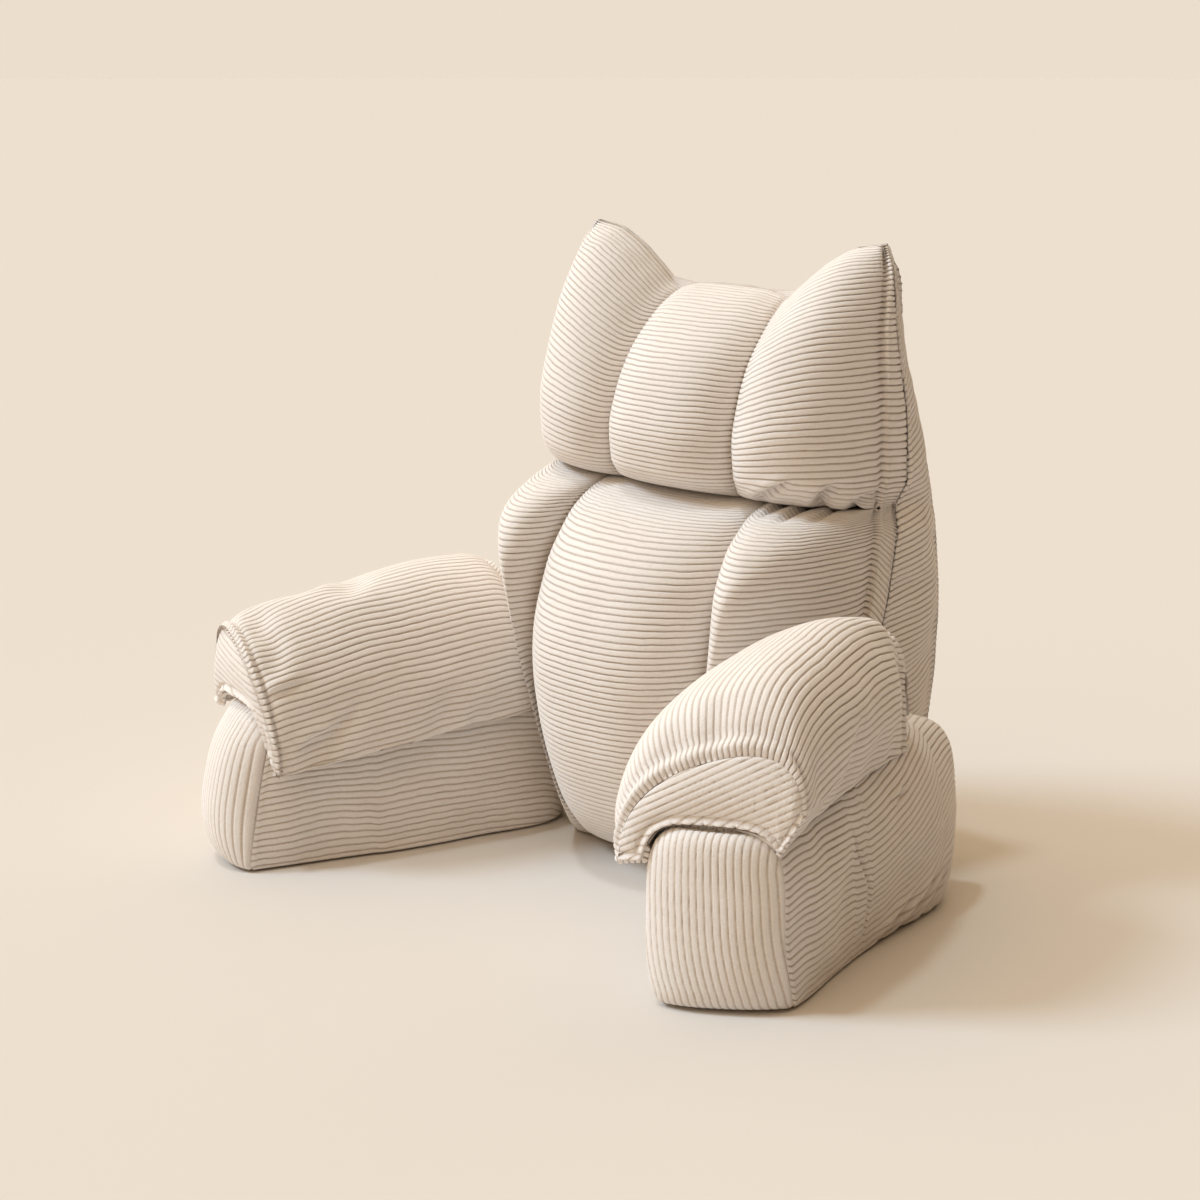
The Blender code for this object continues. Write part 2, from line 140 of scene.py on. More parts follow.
# ---------------------------------------------------------------- cloth and sewing
@dataclass(frozen=True)
class Corduroy:
    """The cord of the cloth: how far apart the wales lie and how they stand up.

    Each wave of their straying has a size, a share of the sway and a shift of the seed. Beside
    a seam or an end the wales are lower, within the pinch and by the tamed or flattened share.
    """

    pitch: float = 0.0067
    relief: float = 0.0017
    squareness: float = 5.2
    fullness: float = 0.50
    sway: float = 0.00045
    waves: tuple[tuple[float, float, int], ...] = ((0.070, 1.0, 0), (0.022, 0.6, 50), (0.007, 0.22, 90))
    slow_wave: float = 0.120
    slow_seed: int = 7
    pinch: float = 0.0014
    end_pinch: float = 0.0016
    tamed: float = 0.75
    flattened: float = 0.8

    @property
    def step(self) -> float:
        """Mesh step across the wales."""
        return self.pitch / STEPS

    def profile(self, wale: Array) -> Array:
        """Height of the pile, 0 in a groove and 1 on a wale's back."""
        t = np.abs(2 * (wale - np.floor(wale)) - 1)
        return np.clip(1 - t ** self.squareness, 0, 1) ** self.fullness

    def stray(self, points: Array, seed: int, wander: float = 0.0) -> Array:
        """How far the wales stray sideways at each place, in metres: finely, and slowly by wander."""
        fine = sum(share * unevenness(points, size, seed + shift) for size, share, shift in self.waves)
        return self.sway * fine + wander * unevenness(points, self.slow_wave, seed + self.slow_seed)

    def surface(self, points: Array, profile: Array, free: Array, seed: int, share: float = 0.12,
                size: float = 0.050) -> Array:
        """Height of the pile over the cloth's own surface.

        Args:
            points: places on the cloth.
            profile: height of the pile, 0 to 1.
            free: how much of it the seams leave, 0 to 1.
            seed: which unevenness.
            share: how uneven the wales are.
            size: distance between one uneven place and the next.

        Returns:
            The height, 0 on a free wale's back and negative elsewhere.
        """
        relief = self.relief * (1 + share * unevenness(points, size, seed))
        return relief * (profile * free - 1)


@dataclass(frozen=True)
class Sewing:
    """What a kind of seam does to the cloth beside it, in metres.

    The gap is the height left between two beads, and the heel is the groove behind their row.
    """

    depth: float
    width: float
    stitch: float = 0.0
    welt: float = 0.0
    welt_at: float = 0.003
    welt_width: float = 0.0021
    heel: float = 0.0
    heel_width: float = 0.7
    gap: float = 0.30

    def height(self, distance: Array, profile: Array) -> Array:
        """Rise of the cloth beside a seam.

        Args:
            distance: from the seam, positive on the side of its row of beads.
            profile: height of the pile, 0 to 1.

        Returns:
            A row of beads, less a pressed line that is deepest in the grooves.
        """
        beads = self.welt * bump(distance - self.welt_at, self.welt_width)
        beads = beads * (self.gap + (1 - self.gap) * profile)
        heel_at = self.welt_at + 2 * self.welt_width
        behind = self.heel * bump(distance - heel_at, self.heel_width * self.welt_width)
        return beads - behind - bump(distance, self.width) * (self.depth + self.stitch * (1 - profile))


class Seam(Enum):
    """The kinds of seam on the pillow."""

    CHANNEL = Sewing(depth=0.0018, width=0.0026, stitch=0.0018)
    STRIP_FRONT = Sewing(depth=0.0030, width=0.0018, stitch=0.0045, welt=0.0026, welt_at=0.0038)
    STRIP_REAR = Sewing(depth=0.0004, width=0.0018, stitch=0.0052, welt=0.0014, welt_at=0.0042)
    PIPED = Sewing(depth=0.0014, width=0.0014, stitch=0.0024, welt=0.0030, welt_at=0.0034, welt_width=0.0021,
                   heel=0.0020)
    PLAIN = Sewing(depth=0.0014, width=0.0016, stitch=0.0012)
    STITCHED = Sewing(depth=0.0034, width=0.0022, stitch=0.0070, welt=0.0010, welt_at=0.0050,
                      welt_width=0.0018)


@dataclass(frozen=True)
class Tuck:
    """A fold pressed into the cloth along a short line between two places."""

    start: tuple[float, float]
    end: tuple[float, float]
    depth: float = 0.0035
    width: float = 0.0026
    lip: float = 0.55
    fade_in: tuple[float, float] = (-0.15, 0.2)
    fade_out: tuple[float, float] = (0.55, 1.1)

    def height(self, across: Array, up: Array) -> Array:
        """Rise of the cloth at places across and up: a groove with a raised lip on one side."""
        way = np.array(self.end) - np.array(self.start)
        length = np.linalg.norm(way)
        way = way / length
        from_start = (across - self.start[0], up - self.start[1])
        along = (from_start[0] * way[0] + from_start[1] * way[1]) / length
        off = from_start[1] * way[0] - from_start[0] * way[1]
        fade = ramp(*self.fade_in, along) * (1 - ramp(*self.fade_out, along))
        raised = self.lip * bump(off - 2.0 * self.width, 1.6 * self.width)
        return self.depth * fade * (raised - bump(off, self.width))


CORD = Corduroy()


def softening(softness: float) -> Array:
    """Weights of an average over neighbours on a line."""
    k = int(3 * softness)
    weights = np.exp(-0.5 * (np.arange(-k, k + 1) / softness) ** 2)
    return weights / weights.sum()


def steadied(values: Array, softness: float = 3.0) -> Array:
    """Averages values with their neighbours along a line."""
    weights = softening(softness)
    padded = np.pad(values, len(weights) // 2, mode="reflect", reflect_type="odd")
    return np.convolve(padded, weights, mode="valid")


def lengths_round(points: Array) -> Array:
    """Distance round each ring from its first point to the point after each."""
    return np.cumsum(np.linalg.norm(np.diff(points, axis=1, append=points[:, :1]), axis=-1), 1)


def lengths_along(points: Array) -> Array:
    """Distance round each ring from its first point to each."""
    return np.pad(lengths_round(points)[:, :-1], ((0, 0), (1, 0)))


def raised(points: Array, ways: Array, height: Array) -> Array:
    """Points moved outward by a height, and never below the floor."""
    points = points + ways * height[..., None]
    points[..., 2] = np.maximum(points[..., 2], 0.0)
    return points


# ---------------------------------------------------------------- forms
def resample(values: Array, rows: Array, columns: Array, around: bool) -> Array:
    """Reads a grid between its points on Catmull-Rom curves.

    Args:
        values: rows x columns x n.
        rows: row places, as fractions of a step.
        columns: column places of the same shape.
        around: whether the columns run round and meet.

    Returns:
        The values at those places.
    """
    def weights(place: Array) -> tuple[Array, list[Array]]:
        """The step that each place lies on, and the weights of the four values beside it."""
        i = np.floor(place).astype(int)
        t = place - i
        return i, [-t * (1 - t) ** 2 / 2, 1 + t * t * (3 * t - 5) / 2, t * (1 + t * (4 - 3 * t)) / 2,
                   t * t * (t - 1) / 2]

    count, width = values.shape[:2]
    i, wi = weights(np.clip(rows, 0, count - 1 - 1e-9))
    j, wj = weights(columns if around else np.clip(columns, 0, width - 1 - 1e-9))
    total = 0.0
    for a in range(4):
        ia = np.clip(i + a - 1, 0, count - 1)
        for b in range(4):
            jb = (j + b - 1) % width if around else np.clip(j + b - 1, 0, width - 1)
            total = total + (wi[a] * wj[b])[..., None] * values[ia, jb]
    return total


@dataclass
class Form:
    """The filled shape of a cover as rings of points that run round it."""

    points: Array
    around: bool = True

    def normals(self) -> Array:
        """Outward direction at each point of a form that runs round."""
        p = self.points
        across = np.roll(p, -1, 1) - np.roll(p, 1, 1)
        if not self.around:
            across = np.gradient(p, axis=1)
        n = np.cross(across, np.gradient(p, axis=0))
        n /= np.maximum(np.linalg.norm(n, axis=-1, keepdims=True), 1e-12)
        middle = p.mean(axis=1, keepdims=True)
        return n if np.sum(n * (p - middle)) > 0 else -n

    def at(self, rows: Array, columns: Array) -> tuple[Array, Array]:
        """Points and outward directions at places between the rings and columns."""
        both = resample(np.concatenate([self.points, self.normals()], -1), rows, columns, self.around)
        n = both[..., 3:]
        return both[..., :3], n / np.maximum(np.linalg.norm(n, axis=-1, keepdims=True), 1e-12)

    def settle(self) -> None:
        """Keeps the form from reaching below the floor."""
        self.points[..., 2] = np.maximum(self.points[..., 2], 0)

    def round_fold(self, row: float, reach: float, softness: float) -> None:
        """Rounds the fold at a row by averaging the rings beside it.

        Args:
            row: index of the ring on the fold.
            reach: how many rings to each side are rounded.
            softness: width of the average, in rings.
        """
        weights = softening(softness)
        padded = np.pad(self.points, ((len(weights) // 2,) * 2, (0, 0), (0, 0)), mode="edge")
        soft = sum(w * padded[i:i + len(self.points)] for i, w in enumerate(weights))
        weight = bump(np.arange(len(self.points)) - row, reach)[:, None, None]
        self.points += weight * (soft - self.points)


@dataclass
class Filling:
    """Cloth simulation that stuffs a cover and gives the wrinkles of its cloth."""

    growth: float = 0.04
    pressure: float = 4.0
    frames: int = 20
    bending: float = 4.0
    cap: float = 0.006
    overall: int = 40
    small: int = 2
    usual: float = 95.0

    def wrinkles(self, name: str, rings: Array, held: Array) -> Array:
        """Stuffs the closed cover and returns how its cloth moved, without the overall swelling.

        Args:
            name: name for the scratch piece.
            rings: coarse form, rows x columns x 3.
            held: 1 where the cloth is sewn down or rests on something, else 0.

        Returns:
            The movement of each point, rows x columns x 3.
        """
        rows, columns = rings.shape[:2]
        ends = rings[[0, -1]].mean(axis=1)
        verts = np.concatenate([rings.reshape(-1, 3), ends])
        quads = [(r * columns + c, r * columns + (c + 1) % columns,
                  (r + 1) * columns + (c + 1) % columns, (r + 1) * columns + c)
                 for r in range(rows - 1) for c in range(columns)]
        low, high = rows * columns, rows * columns + 1
        fans = [((c + 1) % columns, c, low) for c in range(columns)]
        fans += [((rows - 1) * columns + c, (rows - 1) * columns + (c + 1) % columns, high)
                 for c in range(columns)]
        data = bpy.data.meshes.new(name + "_cloth")
        data.from_pydata(verts.tolist(), [], quads + fans)
        volume = np.einsum("ij,ij->", np.cross(verts[[f[0] for f in quads]], verts[[f[1] for f in quads]]),
                           verts[[f[2] for f in quads]])
        if volume < 0:
            data.flip_normals()
        piece = bpy.data.objects.new(name + "_cloth", data)
        bpy.context.scene.collection.objects.link(piece)
        group = piece.vertex_groups.new(name="sewn")
        for index, weight in enumerate(np.concatenate([held.ravel(), [1.0, 1.0]])):
            if weight > 0:
                group.add([index], float(weight), "REPLACE")
        cloth = piece.modifiers.new("stuffing", "CLOTH")
        settings = cloth.settings
        settings.quality = 7
        settings.mass = 0.25
        settings.tension_stiffness = settings.compression_stiffness = 25
        settings.shear_stiffness = 10
        settings.bending_stiffness = self.bending
        settings.tension_damping = settings.compression_damping = settings.shear_damping = 10
        settings.air_damping = 2
        settings.vertex_group_mass = "sewn"
        settings.pin_stiffness = 1
        settings.use_pressure = True
        settings.uniform_pressure_force = self.pressure
        settings.shrink_min = -self.growth
        settings.effector_weights.gravity = 0
        cloth.collision_settings.use_collision = False
        cloth.point_cache.frame_start, cloth.point_cache.frame_end = 1, self.frames
        scene = bpy.context.scene
        for number in range(1, self.frames + 1):
            scene.frame_set(number)
        shaped = piece.evaluated_get(bpy.context.evaluated_depsgraph_get()).data
        moved = np.empty(len(verts) * 3)
        shaped.vertices.foreach_get("co", moved)
        bpy.data.objects.remove(piece, do_unlink=True)
        bpy.data.meshes.remove(data)
        scene.frame_set(1)
        shift = (moved.reshape(-1, 3) - verts)[:-2].reshape(rings.shape)
        fine = (self.calmed(shift, self.small) - self.calmed(shift, self.overall)) * (1 - held)[..., None]
        length = np.linalg.norm(fine, axis=-1, keepdims=True)
        fine = fine * min(1.0, self.cap / float(np.percentile(length, self.usual)))
        length = np.linalg.norm(fine, axis=-1, keepdims=True)
        limit = 2 * self.cap
        return fine * np.tanh(length / limit) * limit / np.maximum(length, 1e-9)

    @staticmethod
    def calmed(shift: Array, times: int) -> Array:
        """Averages a movement with its neighbours on rings that run round, a number of times."""
        for _ in range(times):
            padded = np.pad(shift, ((1, 1), (0, 0), (0, 0)), mode="edge")
            beside = padded[:-2] + padded[2:] + np.roll(shift, 1, 1) + np.roll(shift, -1, 1)
            shift = 0.5 * shift + 0.125 * beside
        return shift

    def stuff(self, name: str, form: Form, rows: Array, columns: Array, sewn_rows: Array,
              sewn_columns: Array, resting: float = -1.0) -> None:
        """Adds the wrinkles that stuffing gives to a form.

        Args:
            name: name of the cover.
            form: the form, which is changed.
            rows: places of the rows that the simulation works with.
            columns: places of its columns.
            sewn_rows: which of the rows are sewn down.
            sewn_columns: which of the columns are.
            resting: the cloth below this height rests on the floor.
        """
        count, around = form.points.shape[:2]
        coarse = resample(form.points, *np.meshgrid(rows, columns, indexing="ij"), True)
        held = (sewn_rows[:, None] | sewn_columns | (coarse[..., 2] < resting)).astype(float)
        shift = self.wrinkles(name, coarse, held)
        fine_rows = np.interp(np.arange(count), rows, np.arange(len(rows)))
        fine_columns = np.interp(np.arange(around), np.append(columns, around), np.arange(len(columns) + 1))
        form.points += resample(shift, *np.meshgrid(fine_rows, fine_columns, indexing="ij"), True)


# ---------------------------------------------------------------- covers
class Cover:
    """A closed cover: grids of cloth joined along their seams into one mesh."""

    def __init__(self, name: str) -> None:
        """Starts an empty cover for the node of that name."""
        self.name = name
        self.points: list[Array] = []
        self.ways: list[Array] = []
        self.uv: list[Array] = []
        self.faces: list[tuple[int, ...]] = []
        self.quads: list[Array] = []
        self.count = 0

    def add(self, points: Array, ways: Array, wale: Array, along: Array, around: bool) -> Array:
        """Adds a grid of cloth.

        Args:
            points: rows x columns x 3.
            ways: outward direction at each point.
            wale: wale number at each point.
            along: metres along the wale at each point.
            around: whether the columns run round and meet.

        Returns:
            The index of each point in the cover.
        """
        rows, columns = points.shape[:2]
        index = np.arange(rows * columns).reshape(rows, columns) + self.count
        self.count += rows * columns
        self.points.append(points.reshape(-1, 3))
        self.ways.append(ways.reshape(-1, 3))
        self.uv.append(np.stack([np.broadcast_to(wale, (rows, columns)),
                                 np.broadcast_to(along, (rows, columns))], -1).reshape(-1, 2))
        wide = np.concatenate([index, index[:, :1]], 1) if around else index
        quads = np.stack([wide[:-1, :-1], wide[:-1, 1:], wide[1:, 1:], wide[1:, :-1]], -1).reshape(-1, 4)
        p = points.reshape(-1, 3)
        a, b, c, d = (p[quads[:, k] - index[0, 0]] for k in range(4))
        facing = np.sum(np.cross(c - a, d - b) * ways.reshape(-1, 3)[quads[:, 0] - index[0, 0]])
        self.quads.append(quads if facing > 0 else quads[:, ::-1])
        return index

    def zip(self, first: Array, second: Array) -> None:
        """Sews two edges together with a strip of triangles.

        Args:
            first: indices along one edge. An edge that runs round ends with its first index.
            second: indices along the other, the same way and from the same place.
        """
        p, n = np.concatenate(self.points), np.concatenate(self.ways)

        def lengths(line: Array) -> Array:
            """Share of the line's length at each of its points."""
            run = np.linalg.norm(np.diff(p[line], axis=0), axis=-1)
            return np.concatenate([[0], np.cumsum(run)]) / run.sum()

        at_first, at_second = lengths(first), lengths(second)
        i = j = 0
        while i < len(first) - 1 or j < len(second) - 1:
            a, b = first[i], second[j]
            if j == len(second) - 1 or (i < len(first) - 1 and at_first[i + 1] <= at_second[j + 1]):
                i += 1
                c = first[i]
            else:
                j += 1
                c = second[j]
            if len({a, b, c}) == 3:
                facing = np.cross(p[b] - p[a], p[c] - p[a]) @ (n[a] + n[b] + n[c])
                self.faces.append((a, b, c) if facing > 0 else (a, c, b))

    def close(self, loop: Array, split: int, way: Array | tuple[float, float, float]) -> None:
        """Closes a flat opening between its near and its far side.

        Args:
            loop: indices round the opening.
            split: how many of them, from the first, lie on the near side.
            way: the way that the closing cloth looks.
        """
        ways = self.ways
        self.ways = [np.broadcast_to(np.array(way, float), (self.count, 3))]
        self.zip(loop[:split], np.concatenate([loop[:1], loop[:split - 1:-1], loop[split - 1:split]]))
        self.ways = ways

    def build(self, finish: "CorduroyFinish") -> bpy.types.Object:
        """Makes the mesh object, dresses it and hands it to the frame.

        Args:
            finish: the cloth's finish.

        Returns:
            The finished piece.
        """
        data = bpy.data.meshes.new(self.name + "_cover")
        quads = np.concatenate(self.quads)
        data.from_pydata(np.concatenate(self.points).tolist(), [], quads.tolist() + self.faces)
        layer = data.uv_layers.new(name="cord")
        corners = np.empty(len(data.loops), int)
        data.loops.foreach_get("vertex_index", corners)
        layer.data.foreach_set("uv", np.concatenate(self.uv)[corners].ravel())
        piece = bpy.data.objects.new(self.name + "_cover", data)
        bpy.context.scene.collection.objects.link(piece)
        for other in bpy.context.selected_objects:
            other.select_set(False)
        bpy.context.view_layer.objects.active = piece
        piece.select_set(True)
        bpy.ops.object.mode_set(mode="EDIT")
        bpy.ops.mesh.select_all(action="SELECT")
        bpy.ops.mesh.remove_doubles(threshold=0.00002)
        bpy.ops.mesh.dissolve_degenerate(threshold=0.00001)
        bpy.ops.object.mode_set(mode="OBJECT")
        data.shade_smooth()
        data.materials.append(finish.material())
        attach(piece, "root")
        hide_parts(self.name)
        log.info("%s: %d faces", piece.name, len(data.polygons))
        return piece


# ---------------------------------------------------------------- the backrest
@dataclass(frozen=True)
class Backrest:
    """Plan, folds and filling of the upright part of the pillow."""

    crease_z: float = 0.372
    crease_tilt: float = 0.045
    top_tilt: float = 0.028
    ear_z: float = 0.616
    lip: float = 0.0022
    strip_bulge: float = 0.004
    gusset_bulge: float = 0.010
    bulge_depth: float = 0.05
    contact_foot: tuple[float, float] = (0.124, -0.020)
    contact_facing: tuple[float, float] = (0.834, -0.552)
    contact_lean: float = 0.23
    squash: float = 0.012
    plan: Table = Table(
        ("z", "x1", "y1", "x2", "y2", "x3", "y3", "y4"),
        ((0.000, 0.150, 0.000, 0.158, 0.012, 0.168, 0.144, 0.158),
         (0.100, 0.168, 0.006, 0.177, 0.020, 0.188, 0.150, 0.166),
         (0.200, 0.181, 0.016, 0.190, 0.031, 0.199, 0.151, 0.169),
         (0.290, 0.188, 0.034, 0.198, 0.052, 0.203, 0.145, 0.166),
         (0.346, 0.189, 0.044, 0.199, 0.064, 0.202, 0.137, 0.160),
         (0.372, 0.184, 0.050, 0.192, 0.072, 0.199, 0.135, 0.156),
         (0.398, 0.189, 0.054, 0.198, 0.082, 0.198, 0.127, 0.151),
         (0.450, 0.188, 0.054, 0.196, 0.082, 0.195, 0.113, 0.139),
         (0.530, 0.182, 0.058, 0.187, 0.074, 0.186, 0.091, 0.113),
         (0.585, 0.176, 0.071, 0.179, 0.079, 0.180, 0.087, 0.099),
         (0.616, 0.166, 0.082, 0.167, 0.085, 0.167, 0.090, 0.090)))
    top_seam: Table = Table(
        ("share", "z"),
        ((0.00, 0.563), (0.22, 0.562), (0.38, 0.557), (0.52, 0.575), (0.68, 0.597), (0.84, 0.610),
         (1.00, 0.614)))

    @property
    def facing(self) -> Array:
        """The way that the plane behind an arm faces, seen from above."""
        return np.array(self.contact_facing) / np.linalg.norm(self.contact_facing)

    def height(self, side_z: Array, share: Array, x: Array) -> Array:
        """Real height of points on the rows that meet the side seams at side_z.

        Args:
            side_z: height at which the row meets the side seam.
            share: place across, -1 to 1.
            x: the points' x.

        Returns:
            Their z.
        """
        fold = self.crease_z - self.crease_tilt * x
        top = self.top_seam.read("z", np.abs(share)) - self.top_tilt * x
        upper = (side_z - self.crease_z) / (self.ear_z - self.crease_z)
        return np.where(side_z <= self.crease_z, side_z / self.crease_z * fold, fold + upper * (top - fold))

    def give_way(self, points: Array) -> Array:
        """Presses the backrest back behind the planes that the arms lean on."""
        points = points.copy()
        facing = self.facing
        for side in (-1, 1):
            out = (facing[0] * (side * points[..., 0] - self.contact_foot[0])
                   + facing[1] * (points[..., 1] - self.contact_foot[1]) - self.contact_lean * points[..., 2])
            past = np.maximum(out + self.squash, 0)
            move = past - self.squash * (1 - np.exp(-past / self.squash))
            points[..., 0] -= side * facing[0] * move
            points[..., 1] -= facing[1] * move
        return points


BACKREST = Backrest()


def swell(t: Array, squareness: float = 2.4, fullness: float = 0.62) -> Array:
    """Section of one filled channel: 1 in the middle and 0 at its two seams, t from -1 to 1."""
    return np.clip(1 - np.abs(t) ** squareness, 0, 1) ** fullness


def clustered(count: int) -> Array:
    """Places from 0 to 1 that lie closer together at both ends."""
    even = np.linspace(0, 1, count + 1)
    return 0.82 * (0.5 - 0.5 * np.cos(math.pi * even)) + 0.18 * even


@dataclass(frozen=True)
class FrontCushion:
    """A front cushion of three channels with a narrow boxing strip on each side.

    A fold is rounded by a reach and a softness, in rings.
    """

    name: str
    low: float
    high: float
    channel: float
    filling: Table
    strip_drop: float
    seed: int
    lobe_steps: int = 26
    strip_steps: int = 11
    rear_steps: int = 10
    form_step: float = 0.003
    bottom_round: tuple[float, float] = (3.0, 1.6)
    top_round: tuple[float, float] = (3.4, 2.0)
    tucked: float = 0.030
    pitch: float = 0.0063
    channel_pinch: tuple[float, float] = (0.003, 0.35)
    top_seam_clear: float = 0.004
    tucks: tuple[Tuck, ...] = ()

    def columns(self) -> tuple[Array, Array, Array]:
        """Columns round the cushion: place across, place on the strip, and place on the rear.

        Returns:
            share (-1 to 1), strip (0 at the front seam, 1 at the rear seam) and rear (1 on it).
        """
        lobe = clustered(self.lobe_steps)
        c = self.channel
        front = np.concatenate([-1 + (1 - c) * lobe, -c + 2 * c * lobe[1:], c + (1 - c) * lobe[1:]])
        strip = clustered(self.strip_steps)[1:]
        rear = np.linspace(1, -1, self.rear_steps + 2)[1:-1]
        share = np.concatenate([-np.ones(len(strip)), front, np.ones(len(strip)), rear])
        place = np.concatenate([strip[::-1], np.zeros(len(front)), strip, np.ones(len(rear))])
        behind = np.concatenate([np.zeros(len(share) - len(rear)), np.ones(len(rear))])
        return share, place, behind

    def wall(self, side_z: Array, share: Array, strip: Array, behind: Array) -> Array:
        """Points of the cushion's wall.

        Args:
            side_z: height of each point's row at the side seam.
            share: place across.
            strip: place on the strip.
            behind: 1 on the rear.

        Returns:
            x, y, z of each point.
        """
        v = (side_z - self.low) / (self.high - self.low)
        x1, y1, x2, y2 = (BACKREST.plan.read(key, side_z) for key in ("x1", "y1", "x2", "y2"))
        seam, middle, side = (self.filling.read(key, v) for key in ("seam", "middle", "side"))
        a = np.abs(share)
        channel = np.where(share < 0, self.filling.read("left", v), self.filling.read("right", v))
        outer = np.clip((a - self.channel) / (1 - self.channel), 0, 1)
        within = np.minimum(a / self.channel, 1)
        share = np.sign(share) * (within * channel + outer * (1 - channel))
        body = seam * np.clip(1 - outer ** 2.2, 0, 1) ** 0.6
        crown = np.where(a < self.channel, middle * swell(within), side * swell(2 * outer - 1))
        bulge = BACKREST.strip_bulge * np.sin(math.pi * v) * np.sin(math.pi * strip)
        x = np.where(behind > 0, share * x2, share * (x1 + strip * (x2 - x1)) + np.sign(share) * bulge)
        y = np.where(behind > 0, y2, np.minimum(y1 - body - crown + strip * (y2 - y1),
                                                y2 - 2 * BACKREST.lip * (1 - strip)))
        return np.stack([x, y, BACKREST.height(side_z, share, x)], -1)

    def form(self) -> tuple[Form, float, float]:
        """The filled shape with its folded-over ends.

        Returns:
            The form, the row at which its wall starts and the row at which it ends.
        """
        count = int(round((self.high - self.low) / self.form_step))
        heights = np.linspace(self.low, self.high, count + 1)[:, None]
        grid = self.wall(*np.broadcast_arrays(heights, *self.columns()))
        rear = grid.copy()
        rear[..., 1] = BACKREST.plan.read("y2", heights)
        steps = (np.arange(1, FOLDED + 1) / FOLDED)[:, None, None]
        grid = np.concatenate([(grid[:1] + steps * (rear[:1] - grid[:1]))[::-1], grid,
                               grid[-1:] + steps * (rear[-1:] - grid[-1:])])
        grid = BACKREST.give_way(grid)
        grid[..., 1] -= GAP / 2 + BASE_MID
        form = Form(grid)
        first, last = float(FOLDED), float(FOLDED + count)
        if self.low > 0:
            form.points[..., 2] += GAP / 2 * (np.arange(len(grid)) < first + 1)[:, None]
        form.round_fold(first, *self.bottom_round)
        if self.high < BACKREST.ear_z:
            form.round_fold(last, *self.top_round)
        form.settle()
        return form, first, last

    def seams(self, points: Array) -> tuple[Array, Array, Array]:
        """Distances across the cushion from its channel seams, front seams and rear seams.

        Args:
            points: rows x columns x 3.

        Returns:
            Distance from the nearest channel seam, from the strip's front seam (positive on
            the strip) and from its rear seam (positive on the strip).
        """
        arc = lengths_along(points)
        k, n = self.strip_steps, self.lobe_steps
        channel = np.minimum(np.abs(arc - arc[:, [k + n]]), np.abs(arc - arc[:, [k + 2 * n]]))
        left = np.arange(arc.shape[1]) < k + 1.5 * n
        front = np.where(left, arc[:, [k]] - arc, arc - arc[:, [k + 3 * n]])
        rear = np.where(left, arc, arc[:, [2 * k + 3 * n]] - arc)
        return channel, front, rear

    def rows_up(self, arc: Array, ends: tuple[float, float], drop: Array) -> tuple[Array, Array]:
        """Lays the cloth's rows up the cushion, folded in where it meets its neighbour.

        Args:
            arc: distance of each of the form's rings up the middle of a lobe.
            ends: the rows at which the wall starts and ends.
            drop: how far the wales run down on each column.

        Returns:
            Row places on each column, and the wale number of each row.
        """
        start, end = np.interp(ends, np.arange(len(arc)), arc)
        start -= self.tucked if self.low > 0 else 0.0
        end += self.tucked if self.high < BACKREST.ear_z else 0.0
        step = self.pitch / STEPS
        count = int(math.ceil((end + self.strip_drop - start) / step))
        along = start + np.arange(count + 1) * step
        rows = np.interp(np.clip(along[:, None] - drop, start, end), arc, np.arange(len(arc)))
        head = np.linspace(0, rows[0, 0], FLAT_ROWS + 1)[:-1, None] + 0 * drop
        tail = np.linspace(rows[-1, 0], len(arc) - 1, FLAT_ROWS + 1)[1:, None] + 0 * drop
        flat = np.zeros(FLAT_ROWS)
        wale = np.concatenate([flat, np.arange(count + 1) / STEPS, flat])[:, None]
        return np.concatenate([head, rows, tail]), wale

    def cover(self) -> Cover:
        """Lays the cords over the filled cushion."""
        form, first, last = self.form()
        share, strip, behind = self.columns()
        self.stuff(form)
        middle = form.points[:, self.strip_steps + self.lobe_steps // 2]
        arc = lengths_along(middle[None])[0]
        drop = self.strip_drop * np.where(behind > 0, 1.0, strip)
        rows, wale = self.rows_up(arc, (first, last), drop)
        columns = np.arange(len(share)) + 0 * rows
        points, _ = form.at(rows, columns)
        inside = ramp(first - 3, first + 3, rows) * (1 - ramp(last - 3, last + 3, rows)) * (1 - behind)
        rows = rows + CORD.stray(points, self.seed) / self.form_step * inside
        points, ways = form.at(rows, columns)
        channel, front, rear = self.seams(points)
        profile = CORD.profile(wale + 0 * rows)
        free = (left_by(front, CORD.pinch, CORD.tamed) * left_by(rear, CORD.end_pinch, CORD.tamed)
                * left_by(channel, *self.channel_pinch))
        height = CORD.surface(points, profile, free, self.seed, *EVEN) * left_by(rear, CORNER, CORD.tamed)
        height += Seam.CHANNEL.value.height(channel, profile)
        height += Seam.STRIP_FRONT.value.height(front, profile) + Seam.STRIP_REAR.value.height(rear, profile)
        for tuck in self.tucks:
            height += tuck.height(points[..., 0], points[..., 2])
        if self.high >= BACKREST.ear_z:
            edge = np.abs(rows - last) * self.form_step
            height += Seam.PLAIN.value.height(edge, profile) * left_by(front, self.top_seam_clear)
        height = np.where(behind > 0, REAR_FACE, height)
        height = np.where(np.arange(len(rows))[:, None] < FLAT_ROWS, UNDERSIDE, height)
        points = raised(points, ways, height)
        cover = Cover(self.name)
        index = cover.add(points, ways, wale, lengths_round(points), True)
        split = len(share) - self.rear_steps
        cover.close(index[0], split, (0, 0, -1))
        cover.close(index[-1], split, (0, 0, 1))
        return cover

